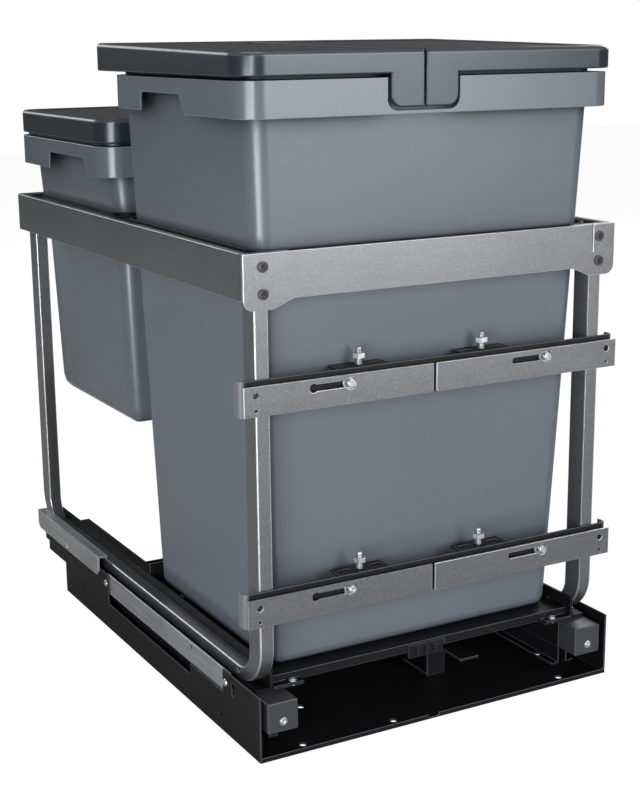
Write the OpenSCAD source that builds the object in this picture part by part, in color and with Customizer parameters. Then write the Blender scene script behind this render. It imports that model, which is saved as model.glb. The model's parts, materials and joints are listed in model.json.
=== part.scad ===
// Pull-out bin frame: base pan, full-extension runners, bar frame with top rails and two bins.
// Millimetres. +X is to the right seen from the front, +Y to the back, +Z up.
// Origin: underside of the base pan, mid width, below the front face of the top rail.

/* [Top rails] */
// Width over the ring of top rails
ring_w = 340; // [325:1:350]
// Depth of the ring, front face to rear face
ring_d = 510; // [490:1:540]
// Height of the ring's top edge above the cabinet floor
rail_top = 393; // [375:1:410]
// Height of the rails
rail_h = 35; // [30:1:42]
// Sheet thickness of rails, brackets and front-panel plates
sheet = 2; // [1.5:0.1:2.5]
// Inward lip along the top and bottom edges of the side and rear rails
rail_lip = 4; // [3:0.5:6]
// Length of the side rails' returns across the front and the rear
return_len = 40; // [30:1:60]
// Bend radius of the side rails at the corners
corner_r = 6; // [4:0.5:10]
// How far the front rail's ears hang below it
ear_drop = 7; // [4:0.5:12]
// Width of an ear
ear_w = 25; // [20:1:32]
// Run of the slope from an ear up to the rail
ear_slope = 17; // [10:1:24]
// Rounding of an ear's outer lower corner
ear_r = 8; // [4:0.5:10]
// Length of the relief slit down the right end of the front rail
slit_len = 22; // [12:1:28]
// Width of the relief slit
slit_w = 1.2; // [0.8:0.1:2]
// Distance of the relief slit from the corner screws
slit_in = 7; // [4:0.5:10]
// Distance of the upper corner screws below the rails' top edge
corner_screw_top = 10; // [7:0.5:12]
// Distance of the lower corner screws above the rails' bottom edge
corner_screw_low = 5; // [4:0.5:9]

/* [Hoops] */
// Distance of the hoops inside the ring's outer faces
hoop_in = 10; // [8:0.5:14]
// Thickness of the hoop's bar across the frame
hoop_bar = 12; // [10:0.5:13]
// Depth of a hoop's uprights
hoop_depth = 20; // [16:1:22]
// Height of a hoop's bottom run
hoop_run_h = 10; // [8:0.5:14]
// Outer bend radius of a hoop
hoop_r = 36; // [28:1:50]
// Inner bend radius of a hoop
hoop_r_in = 20; // [14:1:28]

/* [Seat frame] */
// Thickness of the seat frame's plate
seat_t = 2; // [1.5:0.1:3]
// Gap between the rails' top lip and the seat plate
seat_gap = 1; // [0.5:0.1:2]
// Distance of the front bin's opening inside the ring's outer faces
seat_edge = 17; // [15:0.5:20]
// Play of the front bin in its opening, front to back
seat_slack = 3; // [2:0.5:6]
// Play of the rear bin in its opening, on each side
seat_play = 1.5; // [1:0.1:2]
// Thickness of the upstanding lip round an opening
seat_lip_t = 2; // [1.5:0.1:2.5]
// How far that lip stands above the rails
seat_lip_up = 0; // [0:0.1:3]
// Distance of the two front clips from the middle
clip_x = 62; // [40:1:90]
// Width of a front clip
clip_w = 5; // [4:0.5:8]

/* [Base pan] */
// Depth of the base pan
pan_d = 432; // [420:1:445]
// How far the pan reaches ahead of the front rail
pan_front = 9.5; // [8:0.5:14]
// Height of the pan's side walls
wall_h = 54; // [50:0.5:56]
// Sheet thickness of the pan
pan_t = 1.5; // [1.2:0.1:2]
// Height of the pan's front hem
hem_h = 4; // [3:0.5:6]
// Height of the pan's rear lip
rear_lip_h = 15; // [8:1:18]
// Front end of the window in a side wall
window_front = 120; // [100:1:140]
// Rear end of the window in a side wall
window_rear = 305; // [290:1:318]
// Lower edge of the window
window_low = 25; // [18:1:30]
// How far a side wall's narrow tail reaches behind the pan
tail_len = 58; // [40:1:65]
// Lower edge of that tail
tail_low = 39; // [30:1:44]
// Height of the slit in the wall behind the rear guide's front end
wall_slit_h = 10; // [6:0.5:14]
// Width of that slit
wall_slit_w = 3; // [2:0.5:5]
// Distance of that slit behind the rear guide's front end
wall_slit_in = 38; // [20:1:60]
// Width of the drain notch in the hem
hem_notch_w = 10; // [6:0.5:14]
// Place of the drain notch, from the middle
hem_notch_x = -9.5; // [-20:0.5:20]
// Distance of the corner floor screw holes inside the pan's outer faces
floor_hole_in = 42.5; // [38:0.5:56]
// Distance of the middle floor screw hole from the pan's middle
middle_hole_x = 42; // [30:1:60]
// Distance of the inner floor screw hole from the pan's middle
inner_hole_x = 95; // [70:1:110]
// Distance of the inner floor screw hole behind the front ones
inner_hole_back = 61; // [40:1:80]
// Distance of the front floor screw holes behind the front rail's face
floor_hole_front = 1; // [-1:0.5:4]
// Distance between the floor screw holes front to back
floor_hole_d = 390; // [360:1:400]
// Diameter of the floor screw holes
floor_hole_dia = 5.5; // [4.5:0.1:6.5]
// Keyhole near the front of a wall: distance behind the front rail's face
keyhole_y = 38; // [30:1:40]
// Diameter of the keyhole
keyhole_dia = 6; // [5:0.5:8]
// Distance of the keyhole's middle below the wall's top edge
keyhole_down = 9; // [7:0.5:12]
// Length of the keyhole's slot
keyhole_slot = 8; // [6:0.5:12]
// Distance between the wall screw holes front to back
wall_hole_d = 346; // [320:1:352]
// Distance of the front wall screw hole behind the front rail's face
wall_hole_front = 62; // [50:1:70]
// Height of the wall screw holes above the cabinet floor
wall_hole_z = 12; // [8:0.5:16]
// Diameter of the wall screw holes
wall_hole_dia = 4.5; // [3.5:0.1:5.5]

/* [Rail plates and rear guides] */
// Height of a rail plate
plate_strip_h = 19; // [15:0.5:22]
// How far a rail plate lies below the wall's top edge
strip_drop = 0.5; // [0:0.1:2]
// Front end of a rail plate
strip_front = 46; // [40:1:58]
// How far a rail plate lies behind the wall at each end of the window
strip_lap = 10; // [8:0.5:14]
// Corner cut at the ends of rail plates and rear guides
strip_cut = 5; // [3:0.5:7]
// Front end of a rear guide
guide_front = 324; // [320:1:335]
// Length of a rear guide
guide_len = 172; // [150:1:175]
// How far a rear guide overlaps the wall
guide_lap = 7; // [6:0.5:10]
// How far a rear guide stands above the wall
guide_up = 12; // [8:0.5:14]
// Gap between the guide's lip and the hoop
guide_gap = 0.8; // [0.5:0.1:2]

/* [Runners] */
// Width of a runner's moving box rail
runner_w = 26.5; // [25:0.5:28]
// Height of a runner's moving box rail
runner_h = 25; // [23:0.5:27]
// Height of the box rail's top above the cabinet floor
runner_top = 47; // [45:0.5:49]
// How far the box rail's outer face stands out beyond the hoop
runner_out = 1.5; // [0:0.5:3]
// Gap between the pan's wall and the box rail
runner_gap = 5.5; // [4.5:0.5:7]
// Sheet thickness of the runner rails
runner_t = 1.5; // [1.2:0.1:1.6]
// Diameter of the bearing balls
ball_d = 2.4; // [2:0.1:2.6]
// Play between a ball and a rail
ball_play = 0.1; // [0.05:0.05:0.2]
// Thickness of the ball cages
cage_t = 0.8; // [0.6:0.1:1]
// Length of a ball cage
cage_len = 180; // [140:1:185]
// Front end of the outer cages behind the rails' front ends
outer_cage_in = 126; // [110:1:140]
// Front end of the inner cages behind the rails' front ends
inner_cage_in = 116; // [100:1:130]
// Number of ball stations in a cage
cage_stations = 6; // [4:1:8]
// Length of the moving box rails
moving_len = 478; // [470:1:480]
// Length of the middle rails
middle_len = 420; // [410:1:430]
// Length of the fixed rails
fixed_len = 394; // [370:1:396]
// Width of the fixed rails' feet
fixed_foot = 7; // [6:0.5:8]
// Distance of the foot rivets beside the fixed rails
foot_rivet_in = 4; // [3:0.5:4.5]
// Depth of an end cap
cap_d = 23; // [20:0.5:25]
// Length of an end cap's plug
cap_plug = 6; // [4:0.5:8]

/* [Bed of the carriage] */
// Height of the bed rail under a hoop
bed_h = 3; // [2.5:0.5:9]
// Height of the bed rail's inner fin
bed_fin_h = 20; // [16:1:26]
// How far the bed rail's flange reaches inwards of the hoop
bed_flange = 30; // [26:1:34]
// Thickness of the bed rail's walls
bed_t = 2; // [1.5:0.1:2.5]
// Depth of a crossbar
bar_d = 26; // [22:1:30]
// Height of a crossbar
bar_h = 7.5; // [6:0.5:13]
// Front face of the front crossbar
bar_front = 18; // [16:0.5:22]
// Gap between the front bin's foot and the rear crossbar's upstand
stop_gap = 1; // [0.5:0.1:3]
// Height of the rear crossbar's upstand that stops the bin
bar_stop_h = 27; // [20:1:30]
// Width of the catch unit in the front crossbar
catch_w = 34; // [28:1:44]
// Height of the catch unit
catch_h = 9.5; // [8:0.5:16]
// How far the catch unit's lip hangs down
catch_lip = 2; // [1:0.5:5]
// Width of the catch tongue
tongue_w = 18; // [14:1:32]
// Distance of the catch tongue beside the catch unit
tongue_gap = 12; // [2:0.5:16]
// Height of the catch tongue above the cabinet floor
tongue_z = 34; // [28:0.5:35]
// Upright of the catch tongue behind the front rail's face
tongue_foot = 60; // [50:1:80]
// Length of the catch tongue's foot behind its upright
tongue_reach = 39; // [24:1:45]
// Length of the catch tongue's tip ahead of its upright
tongue_tip = 51; // [24:1:55]

/* [Front-panel brackets] */
// Height of the upper bracket's middle
upper_z = 284.5; // [270:0.5:300]
// Height of the lower bracket's middle
lower_z = 119.5; // [110:0.5:130]
// How far a bracket bar reaches beyond the ring on each side
bracket_over = 4; // [2:0.5:8]
// Bend radius at a bracket bar's ends
bracket_r = 5; // [3:0.5:7]
// Height of a bracket bar
bracket_h = 28; // [26:0.5:32]
// Length of the folds at a bracket bar's ends
bracket_fold = 10; // [8:0.5:14]
// Height of a front-panel plate
plate_h = 23; // [20:0.5:24]
// Distance of a plate's end inside the bracket bar's end
plate_in = 1; // [0:0.5:6]
// Where the two plates of a pair meet, from the middle
plate_seam_x = -6.5; // [-10:0.5:10]
// Gap between the two plates of a pair
plate_seam = 2.5; // [2:0.1:4]
// Gap between a plate and its bar
plate_gap = 3; // [2:0.1:4]
// Distance of a slot's middle from the seam
slot_mid = 92; // [80:1:100]
// Length of a slot, end to end
slot_len = 37; // [28:1:42]
// Width of a slot
slot_w = 5; // [4.8:0.1:6]
// Diameter of the keyhole at a slot's right-hand end
slot_key_dia = 9.4; // [8.6:0.1:11]
// Head diameter of the slot screws
slot_head_d = 7; // [6.4:0.1:8]
// Play of a plate between the slot screws' heads and collars
plate_play = 0.2; // [0.1:0.05:0.4]
// Height of slots and holes above the plate's middle
slot_up = 4.5; // [3:0.5:5]
// Diameter of the panel screw holes
panel_hole_dia = 5; // [4.5:0.1:6]
// Distance of a panel screw hole from the plate's end
panel_hole_in = 10; // [7:0.5:14]
// Height of the nail hole above a plate's lower edge
nail_hole_up = 4.5; // [3:0.5:6]
// Place of the middle between the upright bolts
bolt_mid = -10; // [-12:0.5:12]
// Distance of the upright bolts from that middle
bolt_x = 57; // [45:1:65]
// Diameter of the upright bolts
bolt_d = 6; // [4:0.5:6]
// How far the upright bolts stand above their tabs
bolt_up = 13; // [10:0.5:16]
// Head height of the upright bolts
bolt_head_h = 3.5; // [3:0.1:5]
// Height of the locknuts above the tabs
nut_up = 5; // [1:0.5:6]
// Height of the locknuts
nut_h = 4; // [3.5:0.1:5.5]
// Width of the tab that holds a bolt
tab_w = 46; // [40:1:52]
// Depth of the tab that holds a bolt
tab_d = 16; // [14:0.5:16.5]
// Distance of a tab's slots beside its bolt
tab_slot_x = 14.5; // [12:0.5:16]
// Length of a tab's slots
tab_slot_len = 11; // [8:0.5:12]
// Width of a tab's slots
tab_slot_w = 4; // [3:0.5:6]

/* [Bins] */
// Wall thickness of both bins
bin_wall = 2.5; // [2:0.1:3]
// Corner radius of the bin bodies
bin_r = 15; // [9:0.5:20]
// How far a bin's rim end stands out beyond the front bin's opening
bin_flare = 2.5; // [1:0.5:4]
// Height of the rim bands
rim_h = 27; // [24:1:32]
// Overhang of the rim bands
rim_out = 11.5; // [10:0.5:13]
// Corner radius of the rim bands
rim_r = 20; // [16:1:26]
// Height of the hand grips cut into the rim bands
grip_h = 15; // [10:0.5:18]
// Rounding of the grips' upper corners
grip_r = 4; // [2:0.5:6]
// How far a grip's front edge leans
grip_lean = 10; // [4:0.5:14]
// Thickness of the lids' tops
lid_t = 3; // [2:0.1:4]
// Gap between a lid and its rim
lid_gap = 0.4; // [0.3:0.1:1]
// Height of the shadow gap under a lid's skirt
lid_reveal = 2.4; // [1:0.1:4]
// How far the rear lid's ledge lies inside the rim
lid_ledge = 2.5; // [1.5:0.1:4]
// Width of the border round a lid's sunk panel
panel_edge = 14; // [10:0.5:20]
// Depth of a lid's sunk panel
panel_sink = 1; // [0.5:0.1:1.5]
// How much narrower the front bin's foot is on each side
front_taper = 18; // [14:0.5:24]
// Front face of the front bin at its rim
front_top_y = 13.5; // [12:0.5:15]
// Depth of the front bin at its rim
front_top_d = 242.5; // [230:0.5:250]
// Front face of the front bin at its foot
front_low_y = 31; // [28:0.5:34]
// Depth of the front bin at its foot
front_low_d = 224; // [210:1:224]
// Rounding of the front bin's foot
front_foot_r = 9; // [5:0.5:12]
// Height of the front bin's rim above the top rails
front_rise = 121; // [105:1:135]
// Overhang of the front bin's rim at its rear
rim_rear = 1; // [0:0.5:4]
// Radius of the front bin's rim at its rear corners
rim_rear_r = 28; // [20:1:48]
// Front end of the front bin's grips
front_grip_y = 102; // [90:1:120]
// Length of the front bin's grips
front_grip_len = 84; // [70:1:100]
// Height of the front lid's front edge
lid_h = 17.5; // [15:0.5:22]
// How much the front lid rises towards its rear
lid_rise = 5.5; // [0:0.5:8]
// Overhang of the front lid beyond the rim
lid_over = 2; // [0:0.5:3]
// Radius of the front lid's rear corners
lid_rear_r = 4; // [3:0.5:8]
// Where the front lid is split, from the middle
lid_seam_x = -15; // [-20:0.5:20]
// Gap between the two halves of the front lid
lid_seam = 1.5; // [1:0.1:3]
// Width of the grip notch in the front rim
notch_w = 64; // [54:1:72]
// Depth of the grip notch
notch_h = 24; // [20:0.5:25]
// Rounding of the grip notch
notch_r = 9; // [5:0.5:12]
// Gap round the grip tabs
notch_gap = 2.2; // [1.5:0.1:3]
// Hinge axis behind the front rim
hinge_back = 8; // [7:0.5:11]
// Hinge axis above the front rim
hinge_up = 7; // [6.5:0.5:8]
// Distance of the front lid's rear edge behind the hinge axis
lid_back = 10.5; // [9:0.5:13]
// Diameter of the hinge pins
hinge_pin_d = 5; // [4:0.5:5.5]
// Wall round a hinge pin
knuckle_t = 2.5; // [2:0.1:3]
// Thickness of the hinge lugs
lug_t = 6; // [4:0.5:8]
// Distance of the hinge lugs from the ends of a lid half
lug_in = 42; // [30:1:45]
// Width of the hinge barrels
barrel_w = 10; // [8:0.5:12]
// Gap between a hinge lug and its barrel
barrel_gap = 0.6; // [0.4:0.1:1]
// How far a hinge pin stands out at its ends
pin_over = 1; // [0.5:0.1:2]
// Gap between the front lid and the rear bin's rim
bin_gap = 1; // [0.5:0.1:3]
// Gap between the rear bin's waist and the hoops
rear_bin_gap = 0.7; // [0.5:0.1:2]
// How much narrower the rear bin's foot is on each side
rear_taper = 5.3; // [3:0.1:10]
// Rear face of the rear bin inside the ring's rear face
rear_bin_in = 14.5; // [13:0.5:18]
// How far the rear bin's foot lies behind its waist at the front
rear_foot_front = 1; // [0:0.5:10]
// How far the rear bin's foot lies ahead of its waist at the rear
rear_foot_rear = 8; // [2:0.5:15]
// Rounding of the rear bin's foot
rear_foot_r = 16; // [8:0.5:20]
// Overhang of the rear bin's rim at its rear
rear_rim_back = 7; // [3:0.5:9]
// Height of the rear bin's rim above the top rails
rear_rise = 59; // [50:1:72]
// Height of the rear bin's foot above the cabinet floor
rear_foot_z = 196; // [180:1:230]
// Step in the rear bin's wall that rests on the seat
rear_step = 3.5; // [3:0.1:4]
// Front end of the rear bin's grips behind its front face
rear_grip_in = 27; // [20:1:40]
// Rear end of the rear bin's grips ahead of its rear face
rear_grip_back = 81; // [60:1:90]
// Height of the rear lid
rear_lid_h = 21; // [16:0.5:24]
// How far the rear lid's centring lip hangs into the bin
rear_lip_drop = 6; // [4:0.5:10]
// Play of that lip in the bin's mouth
rear_lip_play = 2; // [1.5:0.1:3]

/* [Fasteners] */
// Shank diameter of the small screws
screw_d = 4; // [3.5:0.1:4.2]
// Length of the corner screws
corner_screw_len = 12; // [9:0.5:16]
// Head diameter of the small screws
screw_head_d = 8.4; // [7:0.1:9]
// Head height of the small screws
screw_head_h = 1.9; // [1.5:0.1:2.4]
// Head height of the rivets
rivet_head_h = 1.2; // [0.8:0.1:1.8]
// Play round a fixed screw, pin or rivet
fit_play = 0.15; // [0.1:0.05:0.25]
// Running play of hinge pins
pin_play = 0.3; // [0.2:0.05:0.4]

/* [Hidden] */
$fn = 48;
// Facets of the blended bin shells
shell_fn = 32;
// Overshoot of cutting tools
cut = 1;
// Thin slice for blended shells
slice = 0.1;
// Smallest corner radius of a rounded foot
foot_min_r = 1.5;

frame_metal = "#7b7e82";
dark_metal = "#1f2124";
rail_grey = "#8c8f93";
zinc = "#d4d7da";
screw_dark = "#2a2c2e";
bin_grey = "#5d656d";
lid_grey = "#3f464d";
cap_grey = "#3a4046";

// Ring and hoops
rail_low = rail_top - rail_h;
ring_x = ring_w / 2;
hoop_x = ring_x - hoop_in;
hoop_mid = hoop_x - hoop_bar / 2;
hoop_front = 2 * sheet;
hoop_rear = ring_d - 2 * sheet;
seat_top = rail_top - sheet - seat_gap;
hoop_top = seat_top - seat_t;
hoop_low = runner_top + bed_h;
seat_lip_top = rail_top + seat_lip_up;
corner_screw_z = [rail_top - corner_screw_top, rail_low + corner_screw_low];

// Pan
wall_in = hoop_x + runner_out + runner_gap;
pan_x = wall_in + pan_t;
pan_w = 2 * pan_x;
pan_rear = pan_d - pan_front;
strip_low = wall_h - strip_drop - plate_strip_h;
strip_rear = window_rear + strip_lap;
rivet_grip = sheet + pan_t + pan_t;
foot_grip = pan_t + runner_t;
floor_hole_x = pan_x - floor_hole_in;

// Runner, from the outside in
runner_mid = hoop_x + runner_out - runner_w / 2;
runner_low = runner_top - runner_h;
ball_room = ball_d + 2 * ball_play;
shell_in = runner_w / 2 - runner_t;
shell_roof = runner_top - runner_t;
middle_out = shell_in - ball_room;
middle_top = shell_roof - ball_room;
middle_in = middle_out - runner_t;
middle_roof = middle_top - runner_t;
fixed_out = middle_in - ball_room;
fixed_top = middle_roof - ball_room;
lip_play = 1;
middle_low = runner_low + runner_t + lip_play;
cage_low = middle_low + 3;
cap_in = 0.5;
cap_front = cap_in - pan_front;
cap_back = cap_front + cap_d;
plug_play = 4;
inner_front = cap_back + cap_plug + plug_play;
outer_cage_front = inner_front + outer_cage_in;
inner_cage_front = inner_front + inner_cage_in;
cap_screw_z = runner_low + 9;

// Bed
bed_top = runner_top + bed_h;
bed_in = hoop_x - hoop_bar;
fin_in = bed_in - bed_t;
flange_z = runner_top + bed_t;
bar_top = flange_z + bar_h;
bar_x = fin_in - 0.5;
bar_foot = 8;
bar_foot_l = 26;
bar_screw_x = bar_x - 18;
bar_rear = front_low_y + front_low_d + stop_gap - bar_d;
bed_front = 12;
bed_rear = ring_d - 22;

// Brackets: each pair of plates lies in front of its bar, which lies on the hoops
bar_face = hoop_front - sheet;
plate_back = bar_face - plate_gap;
plate_face = plate_back - sheet;
bracket_w = ring_w + 2 * bracket_over;
plate_x = bracket_w / 2 - plate_in;
panel_hole_x = plate_x - panel_hole_in;
bolt_y = hoop_front + tab_d / 2;
bolts_x = [bolt_mid - bolt_x, bolt_mid + bolt_x];
bracket_z = [lower_z, upper_z];
slot_travel = (slot_len - slot_w) / 2;

// Bins
seat_w = ring_w - 2 * seat_edge;
bin_top_w = seat_w + 2 * bin_flare;
front_low_w = bin_top_w - 2 * front_taper;
front_rim_z = rail_top + front_rise;
front_foot_z = bar_top + 0.3;
front_rear_y = front_top_y + front_top_d;
rim_front_y = front_top_y - rim_out;
rim_rear_y = front_rear_y + rim_rear;
seat_front_y = front_top_y + seat_slack / 2;
seat_step_y = front_rear_y + seat_slack;

// Front lid: its ledge lies on the bin's wall, its skirt starts above a shadow gap
hinge_y = rim_rear_y + hinge_back;
hinge_z = front_rim_z + hinge_up;
knuckle_r = hinge_pin_d / 2 + knuckle_t;
lid_w = bin_top_w + 2 * rim_out + 2 * lid_over;
lid_front_y = rim_front_y - lid_over;
lid_rear_y = hinge_y + lid_back;
lid_low = front_rim_z + lid_gap;
skirt_low = lid_low + lid_reveal;

// Rear bin: its waist passes between the hoops, its shoulder rests on the seat's lip
rear_rim_z = rail_top + rear_rise;
rear_front_y = lid_rear_y + bin_gap + rim_out;
rear_top_y = ring_d - rear_bin_in;
shoulder_z = seat_lip_top + 0.3;
waist_w = 2 * (hoop_x - hoop_bar - rear_bin_gap);
rear_low_w = waist_w - 2 * rear_taper;
waist_front = rear_front_y + rear_step;
waist_rear = rear_top_y - rear_step;
waist_r = bin_r - rear_step;

// Shared shapes

// Flat rectangle from y0 to y1, centred on x, with true round corners
module round_rect(w, y0, y1, r) {
    round_plan([w, y0, y1], r, r);
}

// The same from a plan [width, front, rear], with its own radius for the rear corners
module round_plan(p, r, rear_r) {
    half = p[0] / 2;
    translate([-half, p[1] + r]) square([p[0], p[2] - p[1] - r - rear_r]);
    translate([-half + r, p[1]]) square([p[0] - 2 * r, r + slice]);
    translate([-half + rear_r, p[2] - rear_r - slice]) square([p[0] - 2 * rear_r, rear_r + slice]);
    for (s = [-1, 1]) {
        translate([s * (half - r), p[1] + r]) circle(r);
        translate([s * (half - rear_r), p[2] - rear_r]) circle(rear_r);
    }
}

// A plan drawn in by t all round
function inset(p, t) = [p[0] - 2 * t, p[1] + t, p[2] - t];

// Flat slot with round ends, centred, along x
module slot_shape(len, w) {
    square([len - w, w], center = true);
    for (x = [-1, 1]) translate([x * (len - w) / 2, 0]) circle(w / 2);
}

// Bar with the children's profile drawn in x and z, from y0 to y1
module along_y(y0, y1) {
    translate([0, y1, 0]) rotate([90, 0, 0]) linear_extrude(y1 - y0) children();
}

// Plate with the children's outline drawn in y and z, from x0 to x1
module along_x(x0, x1) {
    translate([x0, 0, 0]) rotate([90, 0, 90]) linear_extrude(x1 - x0) children();
}

// Left pieces are drawn; the right ones are their mirror images
module on_side(s) {
    if (s < 0) children();
    else mirror([1, 0, 0]) children();
}

// Button-head screw: head above z = 0, shank below, with a hexagon socket
module screw(len, head_d = screw_head_d) {
    difference() {
        union() {
            cylinder(d = head_d, h = screw_head_h * 0.6);
            cylinder(d1 = head_d, d2 = head_d * 0.72, h = screw_head_h);
            translate([0, 0, -len]) cylinder(d = screw_d, h = len + screw_head_h / 2);
        }
        translate([0, 0, screw_head_h - 1.1]) cylinder(d = screw_d * 0.75, h = 2, $fn = 6);
    }
}

// Clearance hole for that screw
module screw_hole(len) {
    translate([0, 0, -len - fit_play]) cylinder(d = screw_d + 2 * fit_play, h = len + fit_play + cut);
}

// Turns a screw drawn along z to face the front, the rear or the left
module face_front() { rotate([90, 0, 0]) children(); }
module face_rear() { rotate([-90, 0, 0]) children(); }
module face_left() { rotate([0, -90, 0]) children(); }

// Places of the screws that hold the ring's corners, in front of a rail's face
module corner_places() {
    for (x = [-hoop_mid, hoop_mid], z = corner_screw_z) translate([x, 0, z]) children();
}

// Holes for those screws through rails and hoops, front and rear
module corner_holes() {
    corner_places() face_front() screw_hole(corner_screw_len);
    translate([0, ring_d, 0]) corner_places() face_rear() screw_hole(corner_screw_len);
}

// Base pan

// Outline of a side wall in y and z
module wall_outline() {
    difference() {
        union() {
            translate([-pan_front, 0]) square([pan_d, wall_h]);
            translate([pan_rear - cut, tail_low]) square([tail_len + cut, wall_h - tail_low]);
        }
        // window, deep behind and shallow along the front of the rail plate
        translate([window_front, window_low]) square([window_rear - window_front, wall_h]);
        translate([strip_front + strip_lap, strip_low]) square([window_front - strip_front, wall_h]);
        // slit beside the rear guide
        translate([guide_front + wall_slit_in, wall_h - wall_slit_h])
            square([wall_slit_w, wall_slit_h + cut]);
    }
}

module pan_wall() {
    difference() {
        along_x(-pan_x, -wall_in) wall_outline();
        for (y = [wall_hole_front, wall_hole_front + wall_hole_d])
            translate([-pan_x - cut, y, wall_hole_z])
                rotate([0, 90, 0]) cylinder(d = wall_hole_dia, h = pan_t + 2 * cut);
        // keyhole near the front: a hole and a narrow slot under it
        along_x(-pan_x - cut, -wall_in + cut) {
            translate([keyhole_y, wall_h - keyhole_down]) circle(d = keyhole_dia);
            translate([keyhole_y - keyhole_dia / 4, wall_h - keyhole_down - keyhole_slot])
                square([keyhole_dia / 2, keyhole_slot]);
        }
        wall_rivet_places() face_left() screw_hole(rivet_grip);
    }
}

// Floor screw holes: the four corners, one more near the front hem and one further back
floor_holes = [
    for (x = [-floor_hole_x, floor_hole_x], y = [0, floor_hole_d]) [x, floor_hole_front + y],
    [-middle_hole_x, floor_hole_front],
    [-inner_hole_x, floor_hole_front + inner_hole_back]
];

module base_pan() {
    color(dark_metal) {
        difference() {
            union() {
                translate([-pan_x, -pan_front, 0]) cube([pan_w, pan_d, pan_t]);
                translate([-pan_x, -pan_front, 0]) cube([pan_w, pan_t, hem_h]);
                translate([-pan_x, pan_rear - pan_t, 0]) cube([pan_w, pan_t, rear_lip_h]);
            }
            for (p = floor_holes)
                translate([p[0], p[1], -cut]) cylinder(d = floor_hole_dia, h = pan_t + 2 * cut);
            // drain notch in the hem
            translate([hem_notch_x - hem_notch_w / 2, -pan_front - cut, pan_t])
                cube([hem_notch_w, pan_t + 2 * cut, hem_h]);
            for (s = [-1, 1]) on_side(s) fixed_rivet_places() screw_hole(foot_grip + cut);
        }
        for (s = [-1, 1]) on_side(s) pan_wall();
    }
}

// Rivets: one through each end of a rail plate, one through a rear guide, three per fixed rail
module wall_rivet_places() {
    for (y = [strip_front, window_rear])
        translate([-pan_x, y + strip_lap / 2, strip_low + plate_strip_h / 2]) children();
    translate([-pan_x - sheet, guide_front + guide_len / 2, wall_h - guide_lap / 2]) children();
}

module fixed_rivet_places() {
    for (y = [0.06, 0.5, 0.94])
        translate([-runner_mid + fixed_out + foot_rivet_in, inner_front + fixed_len * y, foot_grip])
            children();
}

// Rivet with a low domed head above z = 0
module rivet(len) {
    cylinder(d1 = screw_d * 1.7, d2 = screw_d * 1.2, h = rivet_head_h);
    translate([0, 0, -len]) cylinder(d = screw_d, h = len + rivet_head_h / 2);
}

module pan_rivets() {
    color(zinc) for (s = [-1, 1]) on_side(s) {
        wall_rivet_places() face_left() rivet(rivet_grip - fit_play);
        fixed_rivet_places() rivet(foot_grip - fit_play);
    }
}

// Grey plate behind the window of a side wall
module rail_plate(s) {
    top = strip_low + plate_strip_h;
    color(rail_grey) on_side(s) difference() {
        along_x(-wall_in, -wall_in + pan_t) polygon([
            [strip_front + strip_cut, strip_low], [strip_rear - strip_cut, strip_low],
            [strip_rear, strip_low + strip_cut], [strip_rear, top - strip_cut], [strip_rear - strip_cut, top],
            [strip_front, top], [strip_front, strip_low + strip_cut]
        ]);
        wall_rivet_places() face_left() screw_hole(rivet_grip);
        translate([-wall_in - cut, window_front, top - strip_cut])
            rotate([0, 90, 0]) cylinder(d = wall_hole_dia, h = pan_t + 2 * cut);
    }
}

// Grey angle on the rear end of a side wall, its lip beside the hoop
module rear_guide(s) {
    top = wall_h + guide_up;
    low = wall_h - guide_lap;
    rear = guide_front + guide_len;
    color(rail_grey) on_side(s) difference() {
        union() {
            along_x(-pan_x - sheet, -pan_x) polygon([
                [guide_front + strip_cut, low], [rear - strip_cut, low], [rear, low + strip_cut],
                [rear, top], [guide_front, top], [guide_front, low + strip_cut]
            ]);
            translate([-pan_x - sheet, guide_front, top - sheet])
                cube([pan_x + sheet - hoop_x - guide_gap, guide_len, sheet]);
        }
        wall_rivet_places() face_left() screw_hole(rivet_grip);
    }
}

// Sheet tongue on the pan's floor that the catch holds the carriage by
module catch_tongue() {
    x0 = catch_w / 2 + tongue_gap;
    color(dark_metal) along_x(x0, x0 + tongue_w) polygon([
        [tongue_foot + tongue_reach, pan_t], [tongue_foot + tongue_reach, pan_t + sheet],
        [tongue_foot + sheet, pan_t + sheet], [tongue_foot + sheet, tongue_z + sheet],
        [tongue_foot - tongue_tip, tongue_z + sheet], [tongue_foot - tongue_tip, tongue_z],
        [tongue_foot, tongue_z], [tongue_foot, pan_t]
    ]);
}

// Runners

// Inverted channel drawn in x and z, with feet and lips left to the caller
module channel(half, low, top) {
    difference() {
        translate([-half, low]) square([2 * half, top - low]);
        translate([-half + runner_t, low - cut]) square([2 * (half - runner_t), top - low - runner_t + cut]);
    }
}

module fixed_rail(s) {
    foot = fixed_out + fixed_foot;
    color(dark_metal) on_side(s) difference() {
        translate([-runner_mid, 0, 0]) along_y(inner_front, inner_front + fixed_len) {
            channel(fixed_out, pan_t, fixed_top);
            for (x = [-foot, fixed_out - slice])
                translate([x, pan_t]) square([foot - fixed_out + slice, runner_t]);
        }
        fixed_rivet_places() screw_hole(foot_grip + cut);
    }
}

module middle_rail(s) {
    color(rail_grey) on_side(s) translate([-runner_mid, 0, 0])
        along_y(inner_front, inner_front + middle_len) channel(middle_out, middle_low, middle_top);
}

module moving_rail(s) {
    lip = shell_in - middle_in - 0.6;
    color(dark_metal) on_side(s) translate([-runner_mid, 0, 0]) along_y(cap_back, cap_back + moving_len) {
        channel(runner_w / 2, runner_low, runner_top);
        for (x = [-shell_in - slice, shell_in - lip])
            translate([x, runner_low]) square([lip + slice, runner_t]);
    }
}

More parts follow.
